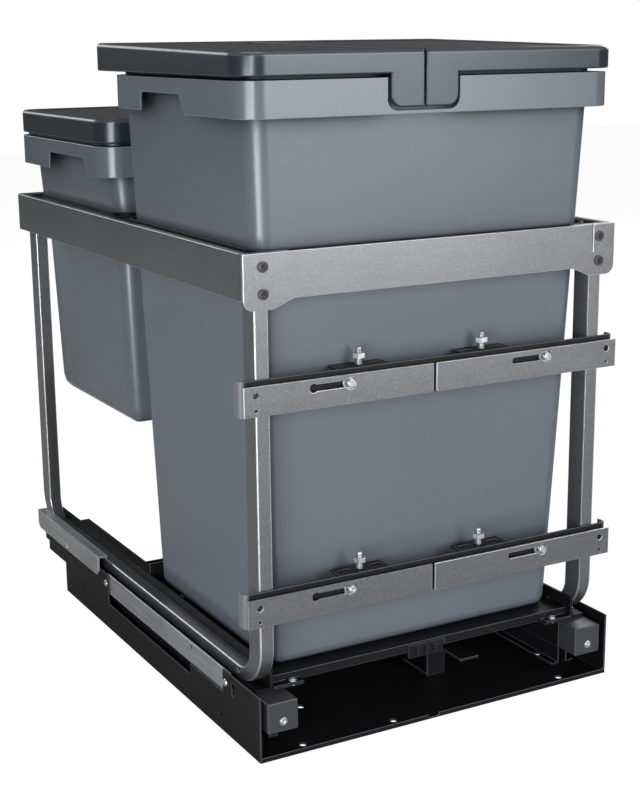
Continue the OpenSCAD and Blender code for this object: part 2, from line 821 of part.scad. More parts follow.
// Ball cage round a rail of the given half width and top, with its balls
module ball_cage(half, top, front) {
    side = half + ball_room / 2;
    roof = top + ball_room / 2;
    pitch = cage_len / cage_stations;
    ball_z = (cage_low + roof) / 2;
    pocket = ball_d + 2 * fit_play;
    difference() {
        along_y(front, front + cage_len) difference() {
            translate([-side - cage_t / 2, cage_low])
                square([2 * side + cage_t, roof + cage_t / 2 - cage_low]);
            translate([-side + cage_t / 2, cage_low - cut])
                square([2 * side - cage_t, roof - cage_t / 2 - cage_low + cut]);
        }
        for (i = [0 : cage_stations - 1]) translate([0, front + pitch * (i + 0.5), 0]) {
            translate([0, 0, roof - cage_t]) cylinder(d = pocket, h = 2 * cage_t);
            translate([-side - cage_t, 0, ball_z])
                rotate([0, 90, 0]) cylinder(d = pocket, h = 2 * (side + cage_t));
        }
    }
    for (i = [0 : cage_stations - 1]) translate([0, front + pitch * (i + 0.5), 0]) {
        translate([0, 0, roof]) sphere(d = ball_d);
        for (x = [-side, side]) translate([x, 0, ball_z]) sphere(d = ball_d);
    }
}

module inner_cage(s) {
    color(zinc) on_side(s) translate([-runner_mid, 0, 0]) ball_cage(fixed_out, fixed_top, inner_cage_front);
}

module outer_cage(s) {
    color(zinc) on_side(s) translate([-runner_mid, 0, 0]) ball_cage(middle_out, middle_top, outer_cage_front);
}

// Plastic cap on the front end of a moving rail, with a plug inside it
module end_cap(s) {
    plug_gap = 0.25;
    color(cap_grey) on_side(s) translate([-runner_mid, 0, 0]) difference() {
        union() {
            along_y(cap_front, cap_back) translate([0, 0]) round_rect(runner_w, runner_low, runner_top, 1.5);
            along_y(cap_back - cut, cap_back + cap_plug)
                translate([-shell_in + plug_gap, runner_low + 4])
                    square([2 * (shell_in - plug_gap), shell_roof - plug_gap - runner_low - 4]);
        }
        translate([0, cap_front, cap_screw_z]) face_front() screw_hole(cap_d - 4);
    }
}

module end_cap_screws() {
    color(zinc) for (s = [-1, 1])
        translate([s * runner_mid, cap_front, cap_screw_z]) face_front() screw(cap_d - 5, screw_head_d * 0.8);
}

// Bed of the carriage

// Strap under a hoop with a fin inside it and a flange for the crossbars
module bed_rail(s) {
    fin_top = runner_top + bed_fin_h;
    flange_in = bed_in - bed_flange;
    color(dark_metal) on_side(s) difference() {
        along_y(bed_front, bed_rear) polygon([
            [-hoop_x, runner_top], [-flange_in, runner_top], [-flange_in, flange_z], [-fin_in, flange_z],
            [-fin_in, fin_top], [-bed_in, fin_top], [-bed_in, bed_top], [-hoop_x, bed_top]
        ]);
        hoop_screw_places() face_left() screw_hole(hoop_bar + bed_t + cut);
        bar_screw_places() translate([-bar_screw_x, 0, 0]) screw_hole(bed_t * 2 + cut);
    }
}

// Side hoop: one bar bent to a U, seen from the side
module hoop(s) {
    color(frame_metal) on_side(s) difference() {
        along_x(-hoop_x, -hoop_x + hoop_bar) difference() {
            bent_u(hoop_front, hoop_rear, hoop_low, hoop_top, hoop_r);
            bent_u(hoop_front + hoop_depth, hoop_rear - hoop_depth, hoop_low + hoop_run_h,
                hoop_top + cut, hoop_r_in);
        }
        hoop_screw_places() face_left() screw_hole(hoop_bar + bed_t + cut);
        corner_holes();
    }
}

// Rectangle with its two lower corners rounded
module bent_u(y0, y1, z0, z1, r) {
    translate([y0, z0 + r]) square([y1 - y0, z1 - z0 - r]);
    translate([y0 + r, z0]) square([y1 - y0 - 2 * r, r + slice]);
    for (y = [y0 + r, y1 - r]) translate([y, z0 + r]) circle(r, $fn = 96);
}

module hoop_screw_places() {
    for (y = [hoop_front + hoop_r + 4, hoop_rear - hoop_r - 4])
        translate([-hoop_x, y, hoop_low + hoop_run_h / 2]) children();
}

module hoop_screws() {
    color(screw_dark) for (s = [-1, 1]) on_side(s)
        hoop_screw_places() face_left() screw(hoop_bar + bed_t, screw_head_d * 0.8);
}

// Crossbar under the front bin: hat section with a foot at each corner
module crossbar(front, stop) {
    difference() {
        union() {
            translate([-bar_x, front, bar_top - sheet]) cube([2 * bar_x, bar_d, sheet]);
            for (y = [front, front + bar_d - sheet])
                translate([-bar_x, y, flange_z]) cube([2 * bar_x, sheet, bar_h]);
            for (x = [-bar_x, bar_x - bar_foot_l])
                translate([x, front - bar_foot, flange_z]) cube([bar_foot_l, bar_foot + sheet, sheet]);
            if (stop > 0)
                translate([-bar_x, front + bar_d, flange_z]) cube([2 * bar_x, sheet, stop]);
        }
        for (x = [-bar_screw_x, bar_screw_x])
            translate([x, front - bar_foot / 2, flange_z + sheet]) screw_hole(2 * sheet);
    }
}

module front_crossbar() {
    color(dark_metal) difference() {
        crossbar(bar_front, 0);
        translate([-catch_w / 2 - 1, bar_front - cut, flange_z - cut])
            cube([catch_w + 2, sheet + 2 * cut, bar_h - sheet + cut]);
    }
}

module rear_crossbar() {
    color(dark_metal) crossbar(bar_rear, bar_stop_h);
}

module bar_screw_places() {
    for (y = [bar_front, bar_rear]) translate([0, y - bar_foot / 2, flange_z + sheet]) children();
}

module crossbar_screws() {
    color(zinc) bar_screw_places() for (x = [-bar_screw_x, bar_screw_x])
        translate([x, 0, 0]) screw(sheet + bed_t, screw_head_d * 0.8);
}

// Plastic catch in the front crossbar, with three ribs and a hanging lip
module catch_unit() {
    low = bar_top - sheet - catch_h;
    rib = 2.5;
    color(cap_grey) {
        translate([-catch_w / 2, bar_front, low]) cube([catch_w, bar_d - sheet - 0.5, catch_h]);
        for (x = [-catch_w / 4, 0, catch_w / 4])
            translate([x - rib / 2, bar_front - rib, low]) cube([rib, rib + slice, catch_h - sheet]);
        translate([-catch_w / 2, bar_front, low - catch_lip]) cube([catch_w, rib, catch_lip + slice]);
    }
}

// Ring of top rails

// Front rail outline in x and z, with a dropped ear at each end
module front_rail_outline() {
    ear_low = rail_low - ear_drop;
    ear_in = ring_x - ear_w;
    difference() {
        polygon([
            [-ring_x, rail_top], [-ring_x, ear_low], [-ear_in, ear_low], [-ear_in + ear_slope, rail_low],
            [ear_in - ear_slope, rail_low], [ear_in, ear_low], [ring_x, ear_low], [ring_x, rail_top]
        ]);
        translate([hoop_mid - slit_in, rail_top - slit_len]) square([slit_w, slit_len + cut]);
        for (s = [-1, 1]) translate([s * (ring_x - ear_r), ear_low + ear_r]) difference() {
            translate([s < 0 ? -ear_r - cut : 0, -ear_r - cut]) square(ear_r + cut);
            circle(ear_r);
        }
    }
}

module front_rail() {
    color(frame_metal) difference() {
        along_y(0, sheet) front_rail_outline();
        corner_holes();
    }
}

// Flat plan of the bent side rails: a band of the given width along the ring
module ring_band(w) {
    difference() {
        round_rect(ring_w, sheet, ring_d, corner_r);
        if (w < corner_r) round_rect(ring_w - 2 * w, sheet + w, ring_d - w, corner_r - w);
        else translate([-ring_x + w, sheet + w]) square([ring_w - 2 * w, ring_d - sheet - 2 * w]);
    }
}

module side_rail(s) {
    color(frame_metal) on_side(s) difference() {
        intersection() {
            union() {
                translate([0, 0, rail_low]) linear_extrude(rail_h) ring_band(sheet);
                for (z = [rail_low, rail_top - sheet])
                    translate([0, 0, z]) linear_extrude(sheet) ring_band(sheet + rail_lip);
            }
            translate([-ring_x - cut, 0, rail_low - cut])
                cube([return_len + cut, ring_d + cut, rail_h + 2 * cut]);
        }
        // the lower lip stops at the hoop's uprights
        for (y = [hoop_front, hoop_rear - hoop_depth])
            translate([-hoop_x - 0.5, y, rail_low - cut]) cube([hoop_bar + 1, hoop_depth, sheet + 2 * cut]);
        corner_holes();
    }
}

module rear_rail() {
    half = ring_x - sheet - rail_lip - 1;
    color(frame_metal) difference() {
        translate([-half, hoop_rear, rail_low + sheet]) cube([2 * half, sheet, rail_h - 2 * sheet]);
        corner_holes();
    }
}

module rail_screws() {
    color(screw_dark) {
        corner_places() face_front() screw(corner_screw_len);
        translate([0, ring_d, 0]) corner_places() face_rear() screw(corner_screw_len);
    }
}

// Plans of the seat frame's two openings
front_opening = [seat_w, seat_front_y, seat_step_y];
rear_opening = inset([waist_w, waist_front, waist_rear], -seat_play);

// Black frame inside the ring, with an opening and a lip for each bin
module bin_seat_frame() {
    edge = 0.5;
    plate = [ring_w - 2 * (sheet + edge), hoop_front + edge, hoop_rear - edge];
    color(dark_metal) {
        translate([0, 0, seat_top - seat_t]) linear_extrude(seat_t) difference() {
            round_plan(plate, corner_r - 1, corner_r - 1);
            for (o = [front_opening, rear_opening]) round_plan(o, waist_r, waist_r);
        }
        for (o = [front_opening, rear_opening])
            translate([0, 0, seat_top - slice]) linear_extrude(seat_lip_top - seat_top + slice) difference() {
                round_plan(inset(o, -seat_lip_t), waist_r + seat_lip_t, waist_r + seat_lip_t);
                round_plan(o, waist_r, waist_r);
            }
        for (x = [-clip_x, clip_x])
            translate([x - clip_w / 2, sheet, seat_top - slice])
                cube([clip_w, seat_front_y - sheet - seat_lip_t / 2, seat_t]);
    }
}

// Front-panel brackets

// Flat plan of a bracket bar: a strip with a short fold at each end
module bracket_plan() {
    long = [bracket_w, bar_face, bar_face + 4 * bracket_fold];
    intersection() {
        difference() {
            round_plan(long, bracket_r, bracket_r);
            round_plan(inset(long, sheet), bracket_r - sheet, bracket_r - sheet);
        }
        translate([-bracket_w, bar_face - cut]) square([2 * bracket_w, bracket_fold + cut]);
    }
}

// Folded bar across the uprights, with two slotted tabs behind its top edge
module bracket_bar(z) {
    top = bracket_tab_z(z);
    difference() {
        union() {
            translate([0, 0, top - bracket_h]) linear_extrude(bracket_h) bracket_plan();
            for (x = bolts_x)
                translate([x - tab_w / 2, hoop_front - slice, top - sheet])
                    cube([tab_w, tab_d + slice, sheet]);
        }
        for (x = bolts_x)
            translate([x, bolt_y, top - sheet - cut]) linear_extrude(sheet + 2 * cut) {
                circle(d = bolt_d + 2 * fit_play);
                for (s = [-tab_slot_x, tab_slot_x]) translate([s, 0]) slot_shape(tab_slot_len, tab_slot_w);
            }
        for (x = [-panel_hole_x, panel_hole_x])
            translate([x, bar_face, z + slot_up]) face_rear() translate([0, 0, -cut])
                cylinder(d = panel_hole_dia + 2, h = sheet + 2 * cut);
        for (x = slot_screw_x)
            translate([x, bar_face, z + slot_up]) face_front() screw_hole(sheet + cut);
    }
}

module upper_bracket_bar() {
    color(frame_metal) bracket_bar(upper_z);
}

module lower_bracket_bar() {
    color(frame_metal) bracket_bar(lower_z);
}

// The slot screws stand at the right-hand end of their slots
slot_screw_x = [for (s = [-1, 1]) plate_seam_x + s * slot_mid + slot_travel];

// Screw with a collar that keeps the plate off the bar; its head fits through the keyhole
module slot_screws() {
    color(zinc) for (x = slot_screw_x, z = bracket_z) translate([x, plate_face - plate_play, z + slot_up]) {
        face_front() screw(plate_play + sheet + plate_gap + sheet, slot_head_d);
        translate([0, sheet + 2 * plate_play, 0]) face_rear()
            cylinder(d = slot_key_dia + 2, h = plate_gap - plate_play);
    }
}

// Upright bolts: a hexagon head under the tab, a locknut above it
function bracket_tab_z(z) = z + bracket_h / 2 + 1;

module bolt_places() {
    for (x = bolts_x, z = bracket_z) translate([x, bolt_y, bracket_tab_z(z)]) children();
}

module bracket_bolts() {
    color(zinc) bolt_places() {
        translate([0, 0, -sheet - bolt_head_h]) cylinder(d = bolt_d * 1.9, h = bolt_head_h, $fn = 6);
        translate([0, 0, -sheet - slice]) cylinder(d = bolt_d, h = sheet + slice + bolt_up);
    }
}

module bracket_nuts() {
    color(zinc) bolt_places() translate([0, 0, nut_up]) difference() {
        cylinder(d = bolt_d * 1.8, h = nut_h, $fn = 6);
        translate([0, 0, -cut]) cylinder(d = bolt_d + 2 * fit_play, h = nut_h + 2 * cut);
    }
}

// Slotted plate from x0 to x1 that carries the cabinet's front panel
module panel_plate(z, x0, x1, slot_x, hole_x, keyhole) {
    color(frame_metal) translate([0, 0, z]) along_y(plate_face, plate_back) difference() {
        translate([x0, -plate_h / 2]) square([x1 - x0, plate_h]);
        translate([slot_x, slot_up]) slot_shape(slot_len, slot_w);
        translate([slot_x + slot_travel, slot_up]) circle(d = slot_key_dia);
        if (keyhole) translate([slot_x - slot_travel, slot_up]) circle(d = panel_hole_dia + 2);
        translate([hole_x, slot_up]) circle(d = panel_hole_dia);
        translate([hole_x, -plate_h / 2 + nail_hole_up]) circle(d = panel_hole_dia / 2);
    }
}

module left_plate(z) {
    panel_plate(z, -plate_x, plate_seam_x - plate_seam / 2,
        plate_seam_x - slot_mid, -panel_hole_x, true);
}

module right_plate(z) {
    panel_plate(z, plate_seam_x + plate_seam / 2, plate_x,
        plate_seam_x + slot_mid, panel_hole_x, false);
}

// Bins

// Tapered bin body from a foot plan to a top plan, with its foot rounded by foot_r
module tapered(low, top, z0, z1, r, foot_r) {
    hull($fn = shell_fn) {
        for (a = [0 : 30 : 90]) {
            t = foot_r * (1 - sin(a));
            corner = max(foot_min_r, r - t);
            translate([0, 0, z0 + foot_r * (1 - cos(a))]) linear_extrude(slice)
                round_plan(inset(low, t), corner, corner, $fn = shell_fn);
        }
        translate([0, 0, z1 - slice]) linear_extrude(slice) round_plan(top, r, r, $fn = shell_fn);
    }
}

// Rim band round a bin's mouth, joined to the wall by a flange at its top
module rim_band(top, rim, z1, rear_r) {
    translate([0, 0, z1 - rim_h]) linear_extrude(rim_h) difference() {
        round_plan(rim, rim_r, rear_r);
        round_plan(inset(rim, bin_wall), rim_r - bin_wall, rear_r - bin_wall);
    }
    translate([0, 0, z1 - bin_wall]) linear_extrude(bin_wall) difference() {
        round_plan(rim, rim_r, rear_r);
        round_plan(inset(top, bin_wall / 2), bin_r - bin_wall / 2, bin_r - bin_wall / 2);
    }
}

// Hand grips cut up into both sides of a rim band, leaning at the front and round at the top
module grip_cuts(rim, z1, y0, y1) {
    low = z1 - rim_h;
    top = low + grip_h;
    x0 = rim[0] / 2 - bin_wall - cut;
    lean = atan2(grip_h, grip_lean);
    run = grip_r * tan(lean / 2);
    y_top = y0 + grip_lean;
    for (s = [-1, 1]) on_side(s) along_x(-x0 - bin_wall - 2 * cut, -x0) {
        polygon([
            [y0, low - cut], [y1, low - cut], [y1, top - grip_r], [y1 - grip_r, top], [y_top + run, top],
            [y_top - run * cos(lean), top - run * sin(lean)], [y0, low]
        ]);
        for (y = [y_top + run, y1 - grip_r]) translate([y, top - grip_r]) circle(grip_r);
    }
}

front_low = [front_low_w, front_low_y, front_low_y + front_low_d];
front_top = [bin_top_w, front_top_y, front_rear_y];
front_rim = [bin_top_w + 2 * rim_out, rim_front_y, rim_rear_y];

// Ends of a lid half across the bin: the outer edge and the seam's edge
function lid_half(s) = s < 0
    ? [-lid_w / 2, lid_seam_x - lid_seam / 2]
    : [lid_seam_x + lid_seam / 2, lid_w / 2];

// Two hinge lugs per half, towards its ends
function lug_x(s) = [lid_half(s)[0] + lug_in, lid_half(s)[1] - lug_in];

module hinge_lug(x) {
    root = rim_rear_y - bin_wall;
    along_x(x - lug_t / 2, x + lug_t / 2) difference() {
        union() {
            translate([hinge_y, hinge_z]) circle(knuckle_r);
            polygon([
                [root, front_rim_z - 2 * hinge_up], [root, front_rim_z - bin_wall], [rim_rear_y, front_rim_z],
                [hinge_y - knuckle_r, hinge_z], [hinge_y + knuckle_r, hinge_z],
                [hinge_y, front_rim_z - knuckle_r]
            ]);
        }
        translate([hinge_y, hinge_z]) circle(hinge_pin_d / 2 + fit_play);
    }
}

module front_bin() {
    color(bin_grey) {
        difference() {
            union() {
                tapered(front_low, front_top, front_foot_z, front_rim_z, bin_r, front_foot_r);
                rim_band(front_top, front_rim, front_rim_z, rim_rear_r);
            }
            tapered(inset(front_low, bin_wall), inset(front_top, bin_wall), front_foot_z + bin_wall,
                front_rim_z + cut, bin_r - bin_wall, front_foot_r - bin_wall);
            grip_cuts(front_rim, front_rim_z, front_grip_y, front_grip_y + front_grip_len);
            // grip notch through the front of the rim band
            along_y(rim_front_y - cut, front_top_y - slice)
                notch_shape(notch_w, front_rim_z - notch_h, front_rim_z + cut);
        }
        for (s = [-1, 1], x = lug_x(s)) hinge_lug(x);
    }
}

// Notch outline in x and z, round at its lower corners
module notch_shape(w, z0, z1) {
    r = notch_r;
    translate([lid_seam_x - w / 2, z0 + r]) square([w, z1 - z0 - r]);
    translate([lid_seam_x - w / 2 + r, z0]) square([w - 2 * r, r + slice]);
    for (x = [-1, 1]) translate([lid_seam_x + x * (w / 2 - r), z0 + r]) circle(r);
}

module front_hinge_pins() {
    color(zinc) for (s = [-1, 1])
        along_x(lug_x(s)[0] - lug_t / 2 - pin_over,
            lug_x(s)[1] + lug_t / 2 + pin_over)
            translate([hinge_y, hinge_z]) circle(hinge_pin_d / 2);
}

// Height of the front lid's sloping top at y
function lid_top(y) = skirt_low + lid_h + lid_rise * (y - lid_front_y) / (lid_rear_y - lid_front_y);

lid_plan = [lid_w, lid_front_y, lid_rear_y];

// Slice of a lid half from z0, or from the sunk panel, up to the sloping top lowered by drop
module lid_slice(half, t, z0, drop) {
    y0 = lid_front_y - cut;
    y1 = lid_rear_y + cut;
    along_x(half[0] + t, half[1] - t) polygon([
        [y0, z0], [y1, z0], [y1, lid_top(y1) - drop], [y0, lid_top(y0) - drop]
    ]);
}

// Upright walls on a plan drawn in by t from the lid's edge, cut to a slice of the half
module lid_block(half, t, z0, drop) {
    intersection() {
        translate([0, 0, z0]) linear_extrude(lid_h + lid_rise + 4 * cut)
            round_plan(inset(lid_plan, t), rim_r + lid_over - t, max(lid_rear_r - t, foot_min_r));
        lid_slice(half, t, z0, drop);
    }
}

// Half of the front lid: a sloping cap with a sunk panel, a ledge, half a grip tab and two hinge barrels
module front_lid(s) {
    half = lid_half(s);
    wall = bin_wall;
    color(lid_grey) {
        difference() {
            lid_block(half, 0, skirt_low, 0);
            lid_block(half, wall, skirt_low - cut, lid_t);
            // sunk panel
            difference() {
                lid_block(half, panel_edge, skirt_low + lid_h - lid_t, -cut);
                lid_slice(half, 0, skirt_low, panel_sink);
            }
            // slots that the hinge lugs pass through when the half is open
            for (x = lug_x(s))
                translate([x - lug_t / 2 - 1, lid_rear_y - wall - cut, skirt_low - cut])
                    cube([lug_t + 2, wall + 2 * cut, lid_h - lid_t + cut]);
        }
        // ledge that lies on the bin's wall, so that the grip's notch stays outside
        intersection() {
            translate([0, 0, lid_low]) linear_extrude(lid_reveal + lid_h + lid_rise) difference() {
                round_plan(front_top, bin_r, bin_r);
                round_plan(inset(front_top, wall), bin_r - wall, bin_r - wall);
            }
            lid_slice(half, 0, lid_low, lid_t - slice);
        }
        // half of the grip tab
        intersection() {
            along_y(lid_front_y, lid_front_y + wall)
                notch_shape(notch_w - 2 * notch_gap, front_rim_z - notch_h + notch_gap, skirt_low + lid_t);
            lid_slice(half, 0, front_rim_z - notch_h, 0);
        }
        hinge_barrel(lug_x(s)[0] + lug_t / 2 + barrel_gap);
        hinge_barrel(lug_x(s)[1] - lug_t / 2 - barrel_gap - barrel_w);
    }
}

module hinge_barrel(x) {
    along_x(x, x + barrel_w) difference() {
        union() {
            translate([hinge_y, hinge_z]) circle(knuckle_r);
            translate([hinge_y - knuckle_t, hinge_z])
                square([2 * knuckle_t, lid_top(hinge_y + knuckle_t) - lid_t + slice - hinge_z]);
        }
        translate([hinge_y, hinge_z]) circle(hinge_pin_d / 2 + pin_play);
    }
}

// Rear bin: the wall steps in where it rests on the seat frame's lip
rear_low = [rear_low_w, waist_front + rear_foot_front, waist_rear - rear_foot_rear];
rear_waist = [waist_w, waist_front, waist_rear];
rear_shoulder = inset(rear_waist, -rear_step);
rear_top = [bin_top_w, rear_front_y, rear_top_y];
rear_rim = [bin_top_w + 2 * rim_out, rear_front_y - rim_out, rear_top_y + rear_rim_back];

// Upper part of the rear bin, from its shoulder to its mouth, drawn in by t
module rear_upper(t, z0, z1) {
    hull($fn = shell_fn) {
        translate([0, 0, z0]) linear_extrude(slice)
            round_plan(inset(rear_shoulder, t), bin_r - t, bin_r - t, $fn = shell_fn);
        translate([0, 0, z1 - slice]) linear_extrude(slice)
            round_plan(inset(rear_top, t), bin_r - t, bin_r - t, $fn = shell_fn);
    }
}

module rear_bin() {
    color(bin_grey) difference() {
        union() {
            tapered(rear_low, rear_waist, rear_foot_z, shoulder_z + bin_wall, waist_r, rear_foot_r);
            rear_upper(0, shoulder_z, rear_rim_z);
            rim_band(rear_top, rear_rim, rear_rim_z, rim_r);
        }
        tapered(inset(rear_low, bin_wall), inset(rear_waist, bin_wall), rear_foot_z + bin_wall,
            shoulder_z + 2 * bin_wall, waist_r - bin_wall, rear_foot_r - bin_wall);
        rear_upper(bin_wall, shoulder_z + bin_wall, rear_rim_z + cut);
        grip_cuts(rear_rim, rear_rim_z, rear_front_y + rear_grip_in, rear_top_y - rear_grip_back);
    }
}

// Loose lid of the rear bin, with a ledge on the rim and a lip that centres it in the bin's mouth
module rear_lid() {
    wall = bin_wall;
    low = rear_rim_z + lid_gap;
    skirt = low + lid_reveal;
    top = skirt + rear_lid_h;
    mouth = inset(rear_top, bin_wall + rear_lip_play);
    mouth_r = bin_r - bin_wall;
    lip_low = low - rear_lip_drop;
    color(lid_grey) {
        difference() {
            translate([0, 0, skirt]) linear_extrude(rear_lid_h) round_plan(rear_rim, rim_r, rim_r);
            translate([0, 0, skirt - cut]) linear_extrude(rear_lid_h - lid_t + cut)
                round_plan(inset(rear_rim, wall), rim_r - wall, rim_r - wall);
            translate([0, 0, top - panel_sink]) linear_extrude(panel_sink + cut)
                round_plan(inset(rear_rim, panel_edge), rim_r - panel_edge, rim_r - panel_edge);
        }
        translate([0, 0, low]) linear_extrude(top - lid_t + slice - low) difference() {
            round_plan(inset(rear_rim, lid_ledge + wall), rim_r - lid_ledge - wall, rim_r - lid_ledge - wall);
            round_plan(inset(rear_rim, lid_ledge + 2 * wall), rim_r - lid_ledge - 2 * wall,
                rim_r - lid_ledge - 2 * wall);
        }
        translate([0, 0, lip_low]) linear_extrude(top - lid_t + slice - lip_low) difference() {
            round_plan(mouth, mouth_r, mouth_r);
            round_plan(inset(mouth, wall), mouth_r - wall, mouth_r - wall);
        }
    }
}

base_pan();
fixed_rail(-1);  // left_fixed_rail
fixed_rail(1);  // right_fixed_rail
rail_plate(-1);  // left_rail_plate
rail_plate(1);  // right_rail_plate
rear_guide(-1);  // left_rear_guide
rear_guide(1);  // right_rear_guide
pan_rivets();
catch_tongue();
inner_cage(-1);  // left_inner_cage
inner_cage(1);  // right_inner_cage
middle_rail(-1);  // left_middle_rail
middle_rail(1);  // right_middle_rail
outer_cage(-1);  // left_outer_cage
outer_cage(1);  // right_outer_cage
moving_rail(-1);  // left_moving_rail
moving_rail(1);  // right_moving_rail
end_cap(-1);  // left_end_cap
end_cap(1);  // right_end_cap
end_cap_screws();
bed_rail(-1);  // left_bed_rail
bed_rail(1);  // right_bed_rail
hoop(-1);  // left_hoop
hoop(1);  // right_hoop
hoop_screws();
front_crossbar();
rear_crossbar();
crossbar_screws();
catch_unit();
front_rail();
rear_rail();
side_rail(-1);  // left_side_rail
side_rail(1);  // right_side_rail
rail_screws();
bin_seat_frame();
upper_bracket_bar();
lower_bracket_bar();
bracket_bolts();
bracket_nuts();
slot_screws();
left_plate(upper_z);  // upper_left_plate
right_plate(upper_z);  // upper_right_plate
left_plate(lower_z);  // lower_left_plate
right_plate(lower_z);  // lower_right_plate
front_bin();
front_hinge_pins();
front_lid(-1);  // front_lid_left
front_lid(1);  // front_lid_right
rear_bin();
rear_lid();
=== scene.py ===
"""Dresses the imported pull-out bin frame: softened sheet metal, moulded bins, plated bolts, plain studio."""

import json
import math
from collections import namedtuple

import bmesh
import bpy
from bpy.props import FloatProperty, FloatVectorProperty, PointerProperty
from bpy.types import Operator, Panel, PropertyGroup
from mathutils import Matrix, Vector


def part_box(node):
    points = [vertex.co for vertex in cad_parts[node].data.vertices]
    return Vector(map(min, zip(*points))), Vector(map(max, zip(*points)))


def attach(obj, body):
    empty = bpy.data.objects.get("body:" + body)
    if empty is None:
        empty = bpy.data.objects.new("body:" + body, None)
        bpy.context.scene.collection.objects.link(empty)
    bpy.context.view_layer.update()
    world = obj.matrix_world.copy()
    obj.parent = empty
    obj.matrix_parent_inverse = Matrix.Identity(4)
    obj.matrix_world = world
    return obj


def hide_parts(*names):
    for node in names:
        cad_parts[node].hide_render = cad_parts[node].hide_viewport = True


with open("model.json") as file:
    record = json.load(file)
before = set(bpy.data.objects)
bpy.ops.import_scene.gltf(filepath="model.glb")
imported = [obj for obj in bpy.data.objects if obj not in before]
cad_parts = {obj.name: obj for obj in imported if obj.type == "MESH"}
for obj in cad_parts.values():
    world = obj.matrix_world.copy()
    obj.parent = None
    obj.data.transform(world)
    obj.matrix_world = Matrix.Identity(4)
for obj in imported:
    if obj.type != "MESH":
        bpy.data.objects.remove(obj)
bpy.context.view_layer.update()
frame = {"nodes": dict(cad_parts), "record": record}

bl_info = {
    "name": "Pull-out Bin Frame",
    "version": (1, 0, 0),
    "blender": (4, 5, 0),
    "location": "3D View > Sidebar > Bin Frame",
    "description": "Dresses a pull-out waste bin frame with metal, plastic and a plain studio",
    "category": "Object",
}

SIDE_RAILS = ["left_side_rail", "right_side_rail", "front_rail", "rear_rail"]
HOOPS = ["left_hoop", "right_hoop"]
BRACKETS = ["upper_bracket_bar", "lower_bracket_bar"]
PLATES = ["upper_left_plate", "upper_right_plate", "lower_left_plate", "lower_right_plate"]
BLACK_PARTS = ["base_pan", "left_fixed_rail", "right_fixed_rail", "left_moving_rail", "right_moving_rail",
               "left_bed_rail", "right_bed_rail", "front_crossbar", "rear_crossbar", "bin_seat_frame",
               "catch_tongue"]
RUNNER_PARTS = ["left_middle_rail", "right_middle_rail", "left_rail_plate", "right_rail_plate",
                "left_rear_guide", "right_rear_guide"]
CAGES = ["left_inner_cage", "right_inner_cage", "left_outer_cage", "right_outer_cage"]
ZINC_PARTS = ["pan_rivets", "end_cap_screws", "crossbar_screws", "bracket_nuts", "slot_screws",
              "front_hinge_pins"]
DARK_SCREWS = ["hoop_screws", "rail_screws"]
BINS = ["front_bin", "rear_bin"]
LIDS = ["front_lid_left", "front_lid_right", "rear_lid"]
END_CAPS = ["left_end_cap", "right_end_cap"]

# Corner of a half lid's box, 0 for low or 1 for high, where it meets the other half
SEAMS = {"front_lid_left": 1, "front_lid_right": 0}

# Corners closer than this are merged
WELD = 1e-6
# Faces that turn less than this lie in one plane
FLAT_ANGLE = math.radians(0.6)
# Edges steeper than this are rounded
CORNER_ANGLE = math.radians(32.0)
# Edges steeper than these stay hard in the shading, the second on threads
SHARP_ANGLE = math.radians(48.0)
THREAD_SHARP_ANGLE = math.radians(28.0)

# Shares of the sheet metal's rounding, on coated sheet and on the thin edges of runners and lids
COATED_SHARE = 0.8
THIN_SHARE = 0.7
# Share of the mouldings' rounding, on the catch's small ribs
RIB_SHARE = 0.4

WHITE = (1.0, 1.0, 1.0, 1.0)

# One pass of rounding: which edges it takes (None for all), how strongly they are painted with a highlight,
# whether it shrinks to fit
Rounding = namedtuple("Rounding", "radius segments choose wear clamp", defaults=(None, 1.0, True))


# Settings

class BinFrameSizes(PropertyGroup):
    """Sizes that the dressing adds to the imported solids."""

    sheet_edge: FloatProperty(
        name="Sheet edge", description="Rounding of the sheet metal's edges", default=0.00045, unit="LENGTH")
    # A sheet's cut edges get the full painted highlight
    cut_edge: FloatProperty(
        name="Cut edge", description="Faces narrower than this are a sheet's bare cut edges",
        default=0.0021, unit="LENGTH")
    bar_edge: FloatProperty(
        name="Bar edge", description="Rounding of the hoops' bar edges", default=0.0012, unit="LENGTH")
    bin_edge: FloatProperty(
        name="Bin edge", description="Rounding of the bins' edges", default=0.0007, unit="LENGTH")
    rim_zone: FloatProperty(
        name="Rim zone", description="Height at a bin's top where close edges limit the rounding",
        default=0.02, unit="LENGTH")
    lid_edge: FloatProperty(
        name="Lid edge", description="Rounding of the lids' top edges", default=0.0034, unit="LENGTH")
    moulding_edge: FloatProperty(
        name="Moulding edge", description="Rounding of the end caps and the catch",
        default=0.001, unit="LENGTH")
    seam_edge: FloatProperty(
        name="Seam edge", description="Rounding where the two front lids meet", default=0.0013, unit="LENGTH")
    hem_edge: FloatProperty(
        name="Hem edge", description="Rounding of the lids' lower outline", default=0.0014, unit="LENGTH")
    screw_edge: FloatProperty(
        name="Screw edge", description="Rounding of screws, nuts and rivets", default=0.0002, unit="LENGTH")
    thread_pitch: FloatProperty(
        name="Thread pitch", description="Pitch of the upright bolts' thread", default=0.001, unit="LENGTH")


